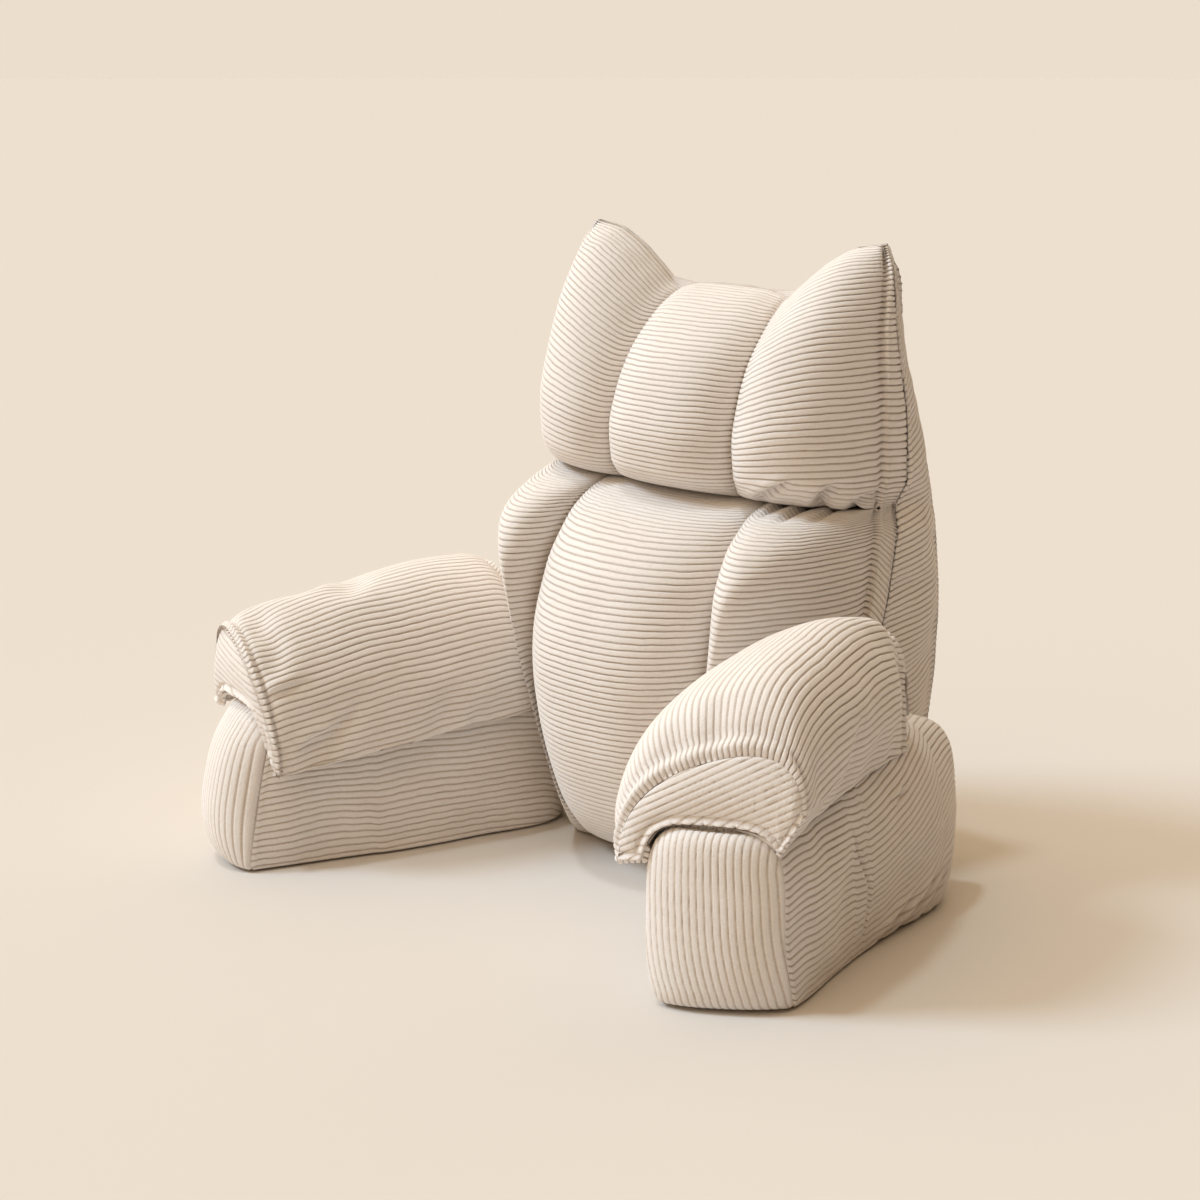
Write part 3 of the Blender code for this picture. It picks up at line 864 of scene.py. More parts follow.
    def stuff(self, form: Form) -> None:
        """Adds the wrinkles that stuffing gives to the form, between its seams."""
        count, around = form.points.shape[:2]
        k, n = self.strip_steps, self.lobe_steps
        marks = [k, k + n, k + 2 * n, k + 3 * n]
        rows = np.linspace(0, count - 1, count // 3)
        lobes = [np.linspace(a, b, 15)[:-1] for a, b in zip(marks, marks[1:])]
        columns = np.concatenate([[0, k / 2], *lobes, [marks[3], marks[3] + k / 2],
                                  np.linspace(marks[3] + k, around - 1, 6)])
        sewn = np.isin(columns, marks) | (columns >= marks[3]) | (columns <= k)
        ends = (rows < 10) | (rows > count - 11)
        Filling().stuff(self.name, form, rows, columns, ends, sewn, RESTING)


LUMBAR = FrontCushion(
    "lumbar_cushion", 0.0, BACKREST.crease_z, 0.500, Table(
        ("v", "seam", "middle", "side", "left", "right"),
        ((0.00, 0.014, 0.014, 0.002, 0.64, 0.50), (0.06, 0.038, 0.038, 0.014, 0.64, 0.50),
         (0.20, 0.066, 0.062, 0.034, 0.64, 0.50), (0.42, 0.090, 0.078, 0.050, 0.63, 0.50),
         (0.65, 0.104, 0.082, 0.060, 0.61, 0.50), (0.80, 0.106, 0.072, 0.067, 0.57, 0.50),
         (0.91, 0.096, 0.054, 0.062, 0.53, 0.50), (0.97, 0.078, 0.036, 0.044, 0.51, 0.50),
         (1.00, 0.058, 0.016, 0.018, 0.50, 0.50))),
    strip_drop=0.020, seed=3,
    tucks=(Tuck((0.110, 0.3625), (0.116, 0.380), depth=0.0052, width=0.0034, lip=0.5),
           Tuck((0.132, 0.3605), (0.138, 0.380), depth=0.0060, width=0.0034, lip=0.5),
           Tuck((0.156, 0.3590), (0.160, 0.380), depth=0.0052, width=0.0030, lip=0.5)))
HEAD = FrontCushion(
    "head_cushion", BACKREST.crease_z, BACKREST.ear_z, 0.370, Table(
        ("v", "seam", "middle", "side", "left", "right"),
        ((0.00, 0.054, 0.010, 0.008, 0.37, 0.37), (0.05, 0.068, 0.028, 0.022, 0.37, 0.37),
         (0.14, 0.076, 0.041, 0.032, 0.37, 0.37), (0.30, 0.078, 0.046, 0.035, 0.37, 0.37),
         (0.50, 0.070, 0.044, 0.031, 0.37, 0.37), (0.70, 0.053, 0.040, 0.028, 0.37, 0.37),
         (0.86, 0.032, 0.031, 0.024, 0.37, 0.37), (0.95, 0.015, 0.018, 0.016, 0.37, 0.37),
         (1.00, 0.000, 0.000, 0.000, 0.37, 0.37))),
    strip_drop=0.0, seed=5,
    tucks=(Tuck((0.098, 0.374), (0.145, 0.398), depth=0.0120, width=0.0032, lip=0.3),
           Tuck((0.148, 0.367), (0.174, 0.396), depth=0.0130, width=0.0032, lip=0.3),
           Tuck((0.168, 0.362), (0.188, 0.382), depth=0.0090, lip=0.3)))


@dataclass(frozen=True)
class Wedge:
    """The upright body behind the front cushions: gussets, back panel, base."""

    name: str = "back_wedge"
    rise: float = 0.29
    across_step: float = 0.0063 / STEPS
    gusset_steps: int = 34
    panel_steps: int = 46
    rear_steps: int = 10
    form_step: float = 0.004
    seed: int = 7
    corner_pinch: tuple[float, float] = (0.002, 0.6)
    rim_pinch: float = 0.0015

    def columns(self) -> tuple[Array, Array, Array]:
        """Columns round the wedge: side (-1 or 1), place on the gusset, place on the panel."""
        gusset = clustered(self.gusset_steps)
        panel = np.linspace(0, 1, self.panel_steps // 2 + 1)
        right = np.concatenate([gusset, np.ones(len(panel) - 1)])
        inward = np.concatenate([np.zeros(len(gusset)), panel[1:]])
        side = np.concatenate([np.ones(len(right)), -np.ones(len(right) - 1)])
        front = np.linspace(-1, 1, self.rear_steps + 2)[1:-1]
        place = np.concatenate([right, right[-2::-1], -np.ones(len(front))])
        inward = np.concatenate([inward, inward[-2::-1], np.zeros(len(front))])
        return np.concatenate([side, front]), place, inward

    def wall(self, side_z: Array, side: Array, place: Array, inward: Array) -> Array:
        """Points of the wedge's wall, for heights and columns of the same shape."""
        x2, y2, x3, y3, y4 = (BACKREST.plan.read(key, side_z) for key in ("x2", "y2", "x3", "y3", "y4"))
        rounded = np.sin(math.pi * np.clip(place, 0, 1)) * np.minimum(1, (y3 - y2) / BACKREST.bulge_depth)
        bulge = BACKREST.gusset_bulge * rounded
        x = np.where(place < 0, side * x2, side * (x2 + place * (x3 - x2) + bulge) * (1 - inward))
        y = np.where(place < 0, y2, y2 + place * (y3 - y2) + np.sin(math.pi / 2 * inward) * (y4 - y3))
        return np.stack([x, y, BACKREST.height(side_z, np.clip(x / x2, -1, 1), x)], -1)

    def cover(self) -> Cover:
        """Lays the cords over the filled wedge."""
        side, place, inward = self.columns()
        count = int(round(BACKREST.ear_z / self.form_step))
        heights = np.linspace(0, BACKREST.ear_z, count + 1)[:, None]
        grid = BACKREST.give_way(self.wall(*np.broadcast_arrays(heights, side, place, inward)))
        depth = np.where(place < 0, 0, grid[..., 1] - grid[:, :1, 1])
        grid[..., 1] += GAP / 2 - BASE_MID
        form = Form(grid)
        form.settle()
        self.stuff(form)
        shift = self.rise * depth[count // 2]
        rows_up = int(math.ceil((BACKREST.ear_z + shift.max()) / self.across_step))
        levels = -shift.max() + np.arange(rows_up + 1) * self.across_step
        lifted = np.clip(levels[:, None] + shift, 0, BACKREST.ear_z)
        rows = lifted / BACKREST.ear_z * count
        wale = (np.arange(rows_up + 1) / STEPS)[:, None]
        columns = np.arange(len(side)) + 0 * rows
        points, _ = form.at(rows, columns)
        inside = ramp(0, 3, rows) * (1 - ramp(count - 3, count, rows)) * (place >= 0)
        rows = rows + CORD.stray(points, self.seed + 1) / self.form_step * inside
        points, ways = form.at(rows, columns)
        arc = lengths_along(points)
        last = 2 * (self.gusset_steps + self.panel_steps // 2)
        corners = [self.gusset_steps, last - self.gusset_steps]
        seam, corner = (np.min([np.abs(arc - arc[:, m:m + 1]) for m in marks], axis=0)
                        for marks in ((0, last), corners))
        profile = CORD.profile(wale + 0 * rows)
        ends = np.minimum(rows, count - rows) * self.form_step
        free = (left_by(seam, CORD.pinch, CORD.tamed) * left_by(corner, *self.corner_pinch)
                * left_by(ends, self.rim_pinch))
        height = CORD.surface(points, profile, free, self.seed, *EVEN) * left_by(seam, CORNER, CORD.tamed)
        height += Seam.STRIP_REAR.value.height(seam, profile) + Seam.PLAIN.value.height(corner, profile)
        points = raised(points, ways, np.where(place < 0, REAR_FACE, height))
        cover = Cover(self.name)
        index = cover.add(points, ways, wale, lengths_round(points), True)
        cover.close(index[0], last + 1, (0, 0, -1))
        cover.close(index[-1], last + 1, (0, 0, 1))
        return cover

    def stuff(self, form: Form) -> None:
        """Adds the wrinkles that stuffing gives to the form, between its seams."""
        count, around = form.points.shape[:2]
        corner, far_corner = self.gusset_steps, self.gusset_steps + 2 * (self.panel_steps // 2)
        seam = far_corner + self.gusset_steps
        rows = np.linspace(0, count - 1, count // 3)
        columns = np.concatenate([np.linspace(0, corner, 9)[:-1], np.linspace(corner, far_corner, 27)[:-1],
                                  np.linspace(far_corner, seam, 9), np.linspace(seam, around - 1, 5)[1:]])
        sewn = np.isin(columns, (0, corner, far_corner)) | (columns >= seam)
        Filling(cap=0.005).stuff(self.name, form, rows, columns, (rows < 3) | (rows > count - 6), sewn)


# ---------------------------------------------------------------- the arms
class Draw(Enum):
    """Seeds of what is uneven on an arm; the arm's side is added."""

    BOLSTER = 11
    BOLSTER_STRAY = 14
    PAD_STRAY = 17
    END_PANEL = 23
    PAD = 31


@dataclass(frozen=True)
class Arm:
    """One arm: a long bolster with a half-moon pad lying on it.

    The beads on the pad's front end and the groove behind them each have a size, a height
    over the lower edge and a width.
    """

    name: str
    side: int
    # the bolster: where its front end stands, its section, its foot and its end panel
    front: tuple[float, float]
    splay: float
    end_turn: float
    girth: float
    press: float
    toe: float
    foot_spread: float
    foot_turn: float
    foot_tuck: float
    lean_back: float
    dome: float
    roundness: float
    fan: float
    stitched: float
    folds: tuple[Tuck, ...]
    # the pad: its two ends along the arm, its crown, its lips and its end panel
    pad: tuple[float, float]
    pad_shift: float
    pad_rise: float
    pad_puff: float
    pad_dip: float
    pad_back: float
    lip_in: tuple[float, float]
    lip_out: tuple[float, float]
    grain: float
    pad_folds: tuple[Tuck, ...]
    # how far each change of the section reaches along the bolster or up it
    foot_round: float = 0.007
    end_reach: float = 0.14
    toe_reach: float = 0.25
    spread_reach: float = 0.20
    tuck_reach: float = 0.16
    turn_height: float = 0.10
    back_height: float = 0.14
    curl_reach: float = 0.06
    curl_top: float = 0.22
    curl_fade: float = 0.10
    # the section of both bolsters
    squareness: float = 4.0
    middle: float = 0.48
    sag: float = 1.28
    taper: float = 0.020
    length: float = 0.372
    rear_round: float = 0.075
    rear_least: float = 0.45
    rear_shrink: tuple[float, ...] = (0.80, 0.55, 0.30, 0.10)
    # rings and columns of the forms and of the cloth
    front_rings: tuple[float, ...] = (0.0, 0.0009, 0.0019, 0.0032, 0.0050, 0.0075, 0.0110)
    pad_rings: tuple[float, ...] = (0.0, 0.0009, 0.0018, 0.0028, 0.0040, 0.0055, 0.0075, 0.0105)
    round_steps: int = 480
    crown_steps: int = 260
    hollow_steps: int = 28
    under_rows: int = 10
    hollow_rows: int = 20
    tucked_under: int = 8
    stuffed_columns: int = 56
    # how the wales climb and stray, and where they fade out
    climb: float = 1.9
    climb_from: float = 0.150
    wander: float = 0.0024
    pad_wander: float = 0.0010
    stray_above: tuple[float, float] = (0.002, 0.010)
    stray_behind: tuple[float, float] = (0.0, 0.004)
    stray_until: tuple[float, float] = (0.9, 1.0)
    wander_above: tuple[float, float] = (0.0, 0.05)
    wales_above: tuple[float, float] = (0.0002, 0.0030)
    wales_until: tuple[float, float] = (0.1, 1.0)
    lifted: float = 0.0006
    top_pinch: float = 0.003
    lip_pinch: float = 0.002
    # the stitched seam across the bolster
    stitch_bend: float = 0.07
    stitch_slant: float = 0.35
    stitch_from: tuple[float, float] = (0.015, 0.035)
    stitch_until: tuple[float, float] = (0.118, 0.128)
    # the pad's underside and its half-moon ends
    hollow_back: float = -0.0004
    rim_step: float = 0.0012
    moon_step: float = 0.00125
    moon_dome: float = 0.006
    moon_inset: float = 0.002
    beads: tuple[float, float, float] = (0.0036, 0.0040, 0.0022)
    bead_gap: float = 0.25
    behind_beads: tuple[float, float, float] = (0.0020, 0.0088, 0.0016)
    bolster: Table = Table(
        ("s", "inner", "outer", "height"),
        ((0.000, 0.0600, 0.0580, 0.160), (0.040, 0.0635, 0.0630, 0.168), (0.120, 0.0650, 0.0690, 0.174),
         (0.220, 0.0660, 0.0850, 0.182), (0.300, 0.0680, 0.1010, 0.186), (0.372, 0.0680, 0.1070, 0.184)))
    crown: Table = Table(
        ("share", "half_width", "crown"),
        ((0.00, 0.0760, 0.230), (0.08, 0.0785, 0.246), (0.23, 0.0805, 0.262), (0.45, 0.0820, 0.276),
         (0.70, 0.0825, 0.284), (0.88, 0.0810, 0.278), (1.00, 0.0770, 0.256)))

    def lean(self, s: float, w: Array, z: Array, inner: float, outer: float) -> Array:
        """Narrows a section from its inner side so that it ends at the backrest."""
        turn = math.radians(self.splay)
        facing = BACKREST.facing
        ahead = (facing @ (np.array(self.front) - BACKREST.contact_foot)
                 + s * (facing @ (-math.sin(turn), math.cos(turn))))
        limit = (BACKREST.contact_lean * z - self.press - ahead) / (facing @ (math.cos(turn), math.sin(turn)))
        narrowed = (limit - inner + np.sqrt((limit + inner) ** 2 + 0.012 ** 2)) / 2
        return outer - (outer - w) * (outer - narrowed) / (outer + inner)

    def foot(self, z: Array) -> Array:
        """How far the rounded bottom edge draws in at each height."""
        low = np.clip(1 - z / self.foot_round, 0, 1)
        return self.foot_round * (1 - np.sqrt(1 - low ** 2))

    def set_back(self, z: Array) -> Array:
        """How far the front end of the bolster lies back at each height."""
        return self.lean_back * np.clip(z / self.back_height, 0, 1) + self.foot(z)

    def pad_set_back(self, w: Array, z: Array) -> Array:
        """How far the front end of the pad lies back, most at its inner lip."""
        inward = np.clip(-w / self.curl_reach, 0, 1)
        return self.pad_back * inward * np.clip((self.curl_top - z) / self.curl_fade, 0, 1)

    def place(self, s: Array | float, w: Array, z: Array, back: Array | float = 0.0) -> Array:
        """Points given along, across and up the arm, in the pillow's frame.

        Args:
            s: along the arm, from its front end.
            w: across it, outward.
            z: height.
            back: how far the front end lies back there.

        Returns:
            The points.
        """
        turn = math.radians(self.splay)
        ahead = np.maximum(0, 1 - np.maximum(s, 0) / self.end_reach) ** 2
        foot = np.maximum(0, 1 - z / self.turn_height) ** 2
        turned = math.tan(math.radians(self.end_turn)) + self.foot_turn * foot
        s = s + (w * turned + back) * ahead
        x = self.front[0] - math.sin(turn) * s + math.cos(turn) * w
        y = self.front[1] + math.cos(turn) * s + math.sin(turn) * w
        return np.stack([self.side * x, y - BASE_MID, z + 0 * w], -1)

    def section(self, s: float, angle: Array, shrunk: float = 1.0) -> tuple[Array, Array]:
        """Section of the bolster: w outward and z up. Angle 0 is its inner side, 90 its top."""
        inner = self.girth * float(self.bolster.read("inner", s))
        outer = self.girth * float(self.bolster.read("outer", s))
        height = float(self.bolster.read("height", s))
        spread = self.foot_spread * float(ramp(0.0, self.spread_reach, s))
        into = max(0.0, (s - self.length + self.rear_round) / self.rear_round)
        rounded = math.sqrt(max(0.0, 1 - into ** 2))
        shrink = (self.rear_least + (1 - self.rear_least) * rounded) * shrunk
        middle = self.middle * height
        turn = np.radians(angle)
        c, u = (powered(value, 2 / self.squareness) for value in (np.cos(turn), np.sin(turn)))
        z = np.maximum(middle + np.where(u > 0, (height - middle) * u, middle * self.sag * u) * shrink, 0)
        w = (outer - inner) / 2 - ((outer + inner) / 2 * shrink - self.foot(z)) * c
        low = np.maximum(0, 1 - z / middle) ** 2
        w = w - spread * np.clip(c, 0, 1) * low
        tuck = self.foot_tuck * (1 - float(ramp(0.0, self.tuck_reach, s)))
        w = w - tuck * np.clip(-c, 0, 1) * low
        lean_in = self.taper * s / self.length * np.maximum(0, z / middle - 1)
        w = w - lean_in * np.maximum(w, 0) / outer
        w = w + self.toe * max(0.0, 1 - s / self.toe_reach) * low
        return self.lean(s, w, z, inner, outer), z

    def stations(self) -> Array:
        """Places of the bolster's rings along it, closer together at both ends and at a stitched seam."""
        body = np.linspace(0.0150, self.length - self.rear_round, 62)
        if self.stitched > 0:
            fine = np.arange(self.stitched - 0.022, self.stitched + 0.006, 0.0011)
            body = np.unique(np.concatenate([body, fine]))
        turn = np.radians(np.linspace(8, 90, 18))
        rear = self.length - self.rear_round + self.rear_round * np.sin(turn)
        return np.concatenate([self.front_rings, body, rear])

    @property
    def back(self) -> Array:
        """The way along the arm, from its front end to its rear."""
        turn = math.radians(self.splay)
        return np.array([-self.side * math.sin(turn), math.cos(turn), 0.0])

    def bolster_form(self, stations: Array, shrunk: Array) -> Form:
        """The filled bolster.

        Args:
            stations: places of the rings along it.
            shrunk: size of each ring, less than 1 on the closing rings at the rear.

        Returns:
            Even rings that start in the middle of the bottom and run up the inner side first.
        """
        rings = []
        for s, share in zip(stations, shrunk):
            ring = np.concatenate([self.even(*self.section(s, np.linspace(low, low + 180, 721), share),
                                             self.round_steps // 2 + 1)[:-1] for low in (-90, 90)])
            rings.append(self.place(s, *ring.T, self.set_back(ring[:, 1])))
        form = Form(np.array(rings))
        self.stuff_bolster(form)
        return form

    def lay_wales(self, form: Form, arcs: Array, stations: Array) -> tuple[Array, Array, Array, int]:
        """Lays the wales side by side from both bottom edges up to the top, then the underside.

        Args:
            form: the filled bolster.
            arcs: distance of its points round each ring.
            stations: places of the rings.

        Returns:
            The columns' places on each ring, their distance from the top, their wale numbers,
            and the number of the last column of the inner side.
        """
        top = arcs[:, self.round_steps // 2]
        lifted = [np.nonzero(z > self.lifted)[0] for z in form.points[..., 2]]
        inner_start, outer_start = (steadied(np.array([arc[marks[end]] for arc, marks in zip(arcs, lifted)]))
                                    for end in (0, -1))
        inner_run, outer_run = top - inner_start, outer_start - top
        cut = int(np.argmax(stations > self.length - self.rear_round)) - 1
        climb = self.climb * np.maximum(stations - self.climb_from, 0) ** 2 * (self.side > 0)
        inner_count, outer_count, extra = (int(math.ceil(reach.max() / CORD.step)) for reach in
                                           (inner_run[:cut + 1], outer_run[:cut + 1], climb))
        inner, outer = np.arange(inner_count + 1), np.arange(outer_count, -extra - 1, -1)
        columns, to_top = [], []
        for r, arc in enumerate(arcs):
            gather_in, gather_out = (min(1.0, run[r] / run[cut]) if r > cut else 1.0
                                     for run in (inner_run, outer_run))
            inside = np.minimum(inner * CORD.step * gather_in, inner_run[r])
            outside = np.clip((outer * CORD.step + climb[r]) * gather_out, 0, outer_run[r])
            bottom_end = inner_start[r] + arc[-1] + np.diff(arc).mean()
            under = np.linspace(outer_start[r], bottom_end, self.under_rows + 2)[1:-1]
            place = np.concatenate([inner_start[r] + inside, outer_start[r] - outside, under])
            length = np.append(arc, bottom_end - inner_start[r])
            columns.append(np.interp(place, length, np.arange(self.round_steps + 1)))
            to_top.append(np.concatenate([inner_run[r] - inside, outer_run[r] - outside,
                                          np.ones(self.under_rows)]))
        wale = np.concatenate([inner, outer, np.full(self.under_rows, STEPS / 2)]) / STEPS
        return np.array(columns), np.array(to_top), wale, inner_count

    def bolster_cover(self) -> Cover:
        """Lays the cords along the filled bolster."""
        stations = self.stations()
        shrunk = np.concatenate([np.ones(len(stations)), self.rear_shrink])
        stations = np.concatenate([stations, np.full(len(self.rear_shrink), self.length)])
        form = self.bolster_form(stations, shrunk)
        arcs = lengths_along(form.points)
        columns, to_top, wale, inner_count = self.lay_wales(form, arcs, stations)
        rows = np.arange(len(stations))[:, None] + 0 * columns
        points, _ = form.at(rows, columns)
        s, z = stations[:, None] + 0 * columns, points[..., 2]
        closing = 1 - shrunk[:, None]
        inside = (ramp(*self.stray_above, z) * ramp(*self.stray_behind, s)
                  * (1 - ramp(*self.stray_until, closing)))
        half = self.round_steps // 2
        top = arcs[:, [half]]
        per_metre = np.where(columns < half, half / top, half / (arcs[:, -1:] - top))
        wander = self.wander * ramp(*self.wander_above, z)
        stray = CORD.stray(points, Draw.BOLSTER_STRAY.value + self.side, wander)
        columns = columns + stray * inside * per_metre
        points, ways = form.at(rows, columns)
        z = points[..., 2]
        profile = CORD.profile(wale + 0 * columns)
        outside = np.arange(columns.shape[1]) > inner_count
        free = (left_by(s, CORD.end_pinch, CORD.flattened) * left_by(to_top, self.top_pinch)
                * ramp(*self.wales_above, z) * (1 - ramp(*self.wales_until, closing)))
        height = CORD.surface(points, profile, free, Draw.BOLSTER.value + self.side)
        height += Seam.PLAIN.value.height(s, profile)
        if self.stitched > 0:
            slant = self.stitch_slant * np.maximum(z - self.stitch_bend, 0)
            stitch = np.abs(s - self.stitched + slant) + np.where(outside, 0, 1)
            shown = ramp(*self.stitch_from, z) * (1 - ramp(*self.stitch_until, z))
            height += Seam.STITCHED.value.height(stitch, profile) * shown
        for fold in self.folds:
            height += fold.height(s, z) * outside
        cover = Cover("arm_bolster_" + self.name)
        index = cover.add(raised(points, ways, height), ways, wale, s, True)
        cover.close(index[-1], len(index[-1]) // 2, self.back)
        self.end_panel(cover, index[0], -self.back)
        return cover

    def end_panel(self, cover: Cover, edge: Array, way: Array) -> None:
        """Adds the front end panel of the bolster, with upright wales, and sews it on.

        Args:
            cover: the bolster's cover.
            edge: indices of the bolster's first ring.
            way: the way that the panel looks.
        """
        w, z = self.section(0.0, np.linspace(-90, 270, 721))
        top, wide = z.max(), w.max() - w.min()

        def edges(level: Array) -> list[Array]:
            """The inner and the outer edge of the panel at each height."""
            found = []
            for half in (w < w.mean(), w >= w.mean()):
                order = np.argsort(z[half])
                found.append(np.interp(level, z[half][order], w[half][order]))
            return found

        a = np.linspace(-1, 1, int(round(wide / CORD.step)) + 1)[None, :]
        b = (0.003 + 0.992 * clustered(62))[:, None]
        level = b * top + 0 * a
        left, right = edges(level)
        soft_left, soft_right = edges(np.clip(level, 0.1 * top, 0.78 * top))
        across = (left + right) / 2 + a * (right - left) / 2
        place = (across - soft_left) / (soft_right - soft_left) - self.fan * (1 - b) ** 2
        wale = place * round(wide / CORD.pitch)
        bulge = self.dome * (1 - np.abs(a) ** 2.6) ** 0.8 * (1 - np.abs(2 * b - 1) ** self.roundness) ** 0.55
        base = self.place(-bulge, across, level, self.set_back(level))
        rim = np.minimum((1 - np.abs(a)) * (right - left) / 2, np.minimum(b, 1 - b) * top)
        profile = CORD.profile(wale)
        free = left_by(rim, CORD.end_pinch, CORD.flattened) * ramp(0.0, 0.003, level)
        height = CORD.surface(base, profile, free, Draw.END_PANEL.value + self.side)
        height += Seam.PLAIN.value.height(rim, profile)
        self.sew_panel(cover, edge, base, height, wale, level, way)

    @staticmethod
    def sew_panel(cover: Cover, edge: Array, base: Array, height: Array, wale: Array, along: Array,
                  way: Array) -> None:
        """Adds a panel and sews it to an edge of its cover.

        Args:
            cover: the cover.
            edge: indices of the ring round the panel.
            base: the panel's own surface.
            height: rise of the cloth over it.
            wale: wale number at each point.
            along: metres along the wale at each point.
            way: the way that the panel looks.
        """
        normal = Form(base, around=False).normals()
        normal = np.where(np.sum(normal * way, -1, keepdims=True) < 0, -normal, normal)
        index = cover.add(raised(base, normal, height), normal, wale, along, False)
        loop = np.concatenate([index[0, :], index[1:, -1], index[-1, -2::-1], index[-2:0:-1, 0]])
        p = np.concatenate(cover.points)
        middle = p[edge].mean(0)
        one, two = (np.cross(p[line] - middle, np.roll(p[line], -1, 0) - middle).sum(0)
                    for line in (edge, loop))
        if one @ two < 0:
            loop = loop[::-1]
        start = int(np.argmin(np.linalg.norm(p[loop] - p[edge[0]], axis=-1)))
        loop = np.roll(loop, -start)
        cover.zip(np.append(edge, edge[0]), np.append(loop, loop[0]))

    def stuff_bolster(self, form: Form) -> None:
        """Adds the wrinkles that stuffing gives to the bolster."""
        count, around = form.points.shape[:2]
        stations = self.stations()
        even = np.linspace(self.front_rings[-1], stations[-1], 40)
        rows = np.concatenate([[0.0, 4.0], np.interp(even, stations, np.arange(len(stations))),
                               [count - 3.0, count - 1.0]])
        columns = np.arange(self.stuffed_columns) * around / self.stuffed_columns
        filling = Filling(growth=0.018, cap=0.0035, bending=12.0, small=6, overall=60)
        filling.stuff("arm_bolster_" + self.name, form, rows, columns, (rows < 1) | (rows > count - 6),
                      columns < 0, RESTING)
        form.settle()

    def pad_section(self, s: float, share: float) -> tuple[Array, Array, Array, Array]:
        """Hollow underside and crown of the pad: w and z of each, from the inside to the outside."""
        half = self.girth * float(self.crown.read("half_width", share))
        front = math.exp(-share / 0.06)
        puff = self.pad_puff * (1 - front) * math.exp(-(share / 0.62) ** 2)
        crown = float(self.crown.read("crown", share)) + self.pad_rise * math.sin(math.pi * share) ** 0.5
        crown += 0.8 * puff - self.pad_dip * front
        lip_in, lip_out = (lip[0] + share * (lip[1] - lip[0]) for lip in (self.lip_in, self.lip_out))
        w, z = self.section(max(s, 0.0), np.linspace(16, 142, 60))
        tangent = np.gradient(np.stack([w, z], -1), axis=0)
        tangent /= np.linalg.norm(tangent, axis=1)[:, None]
        w, z = w - tangent[:, 1] * GAP * 1.5, z + tangent[:, 0] * GAP * 1.5
        z = np.maximum(z, lip_in + 0.002 + 0.1 * (w + half))
        turn = np.radians(np.linspace(0, 180, 240))
        across = -powered(np.cos(turn), 0.86)
        base = lip_in + (lip_out - lip_in) * (across + 1) / 2
        over = base + (crown - (lip_in + lip_out) / 2) * np.abs(np.sin(turn)) ** 0.80
        inner, outer = half - self.pad_shift + puff, half + self.pad_shift
        side = half * across + self.pad_shift + puff * np.minimum(across, 0) * np.abs(np.sin(turn)) ** 0.6
        side = self.lean(s, side, over, inner, outer)
        return w, z, side, over

    def pad_form(self, shares: Array) -> Form:
        """The filled pad, as rings over its crown and back through its hollow underside."""
        first, last = self.pad
        tucked = self.tucked_under
        near, far = slice(tucked, None, -1), slice(None, -tucked - 2, -1)
        rest = slice(-tucked - 2, tucked, -1)
        rings = []
        for share in shares:
            s = first + share * (last - first)
            w, z, side, over = self.pad_section(s, share)
            crown = self.even(np.concatenate([w[near], side, w[far]]),
                              np.concatenate([z[near], over, z[far]]), self.crown_steps)
            ring = np.concatenate([crown, self.even(w[rest], z[rest], self.hollow_steps)])
            rings.append(self.place(s, *ring.T, self.pad_set_back(*ring.T)))
        form = Form(np.array(rings))
        self.stuff_pad(form)
        return form

    def pad_cover(self) -> Cover:
        """Lays the cords along the half-moon pad."""
        first, last = self.pad
        length = last - first
        start = np.array(self.pad_rings)
        body = np.linspace(0.0140, length - 0.0140, 62)
        shares = np.concatenate([start, body, length - start[::-1]]) / length
        form = self.pad_form(shares)
        lip, end = self.crown_steps - 1, self.crown_steps + self.hollow_steps
        crown = np.linalg.norm(np.diff(form.points[:, :lip + 1], axis=1), axis=-1).sum(1).mean()
        count = int(round(crown / CORD.step))
        columns = np.concatenate([np.linspace(0, lip, count + 1),
                                  np.linspace(lip, end, self.hollow_rows + 2)[1:-1]])
        rows = np.arange(len(shares))[:, None] + 0 * columns
        columns = columns + 0 * rows
        points, _ = form.at(rows, columns)
        number = np.arange(count + 1)
        hollow = np.zeros(self.hollow_rows)
        from_lip = np.concatenate([np.minimum(number, number[::-1]), hollow])
        stray = CORD.stray(points, Draw.PAD_STRAY.value + self.side, self.pad_wander)
        columns = columns + stray * ramp(0, 8, from_lip) * self.crown_steps / crown
        points, ways = form.at(rows, columns)
        wale = np.concatenate([number, hollow]) / STEPS
        profile = CORD.profile(wale + 0 * rows)
        s = shares[:, None] * length + 0 * rows
        free = (left_by(s, CORD.pinch, CORD.flattened) * left_by(length - s, CORD.pinch, CORD.flattened)
                * left_by(from_lip * CORD.step, self.lip_pinch))
        height = CORD.surface(points, profile, free, Draw.PAD.value + self.side)
        height += Seam.PIPED.value.height(s, profile) + Seam.PIPED.value.height(length - s, profile)
        number = np.arange(columns.shape[1])
        for fold in self.pad_folds:
            height += fold.height(s, points[..., 2]) * (number < count / 2)
        height = np.where(number <= count, height, self.hollow_back)
        cover = Cover("arm_pad_" + self.name)
        index = cover.add(raised(points, ways, height), ways, wale, s, True)
        self.moon_panel(cover, index[0], first, 0.0, -self.back)
        self.moon_panel(cover, index[-1], last, 1.0, self.back)
        return cover

    @staticmethod
    def even(w: Array, z: Array, count: int) -> Array:
        """Evenly spaced points along a line of w and z."""
        run = np.concatenate([[0], np.cumsum(np.hypot(np.diff(w), np.diff(z)))])
        at = np.linspace(0, run[-1], count)
        return np.stack([np.interp(at, run, w), np.interp(at, run, z)], -1)

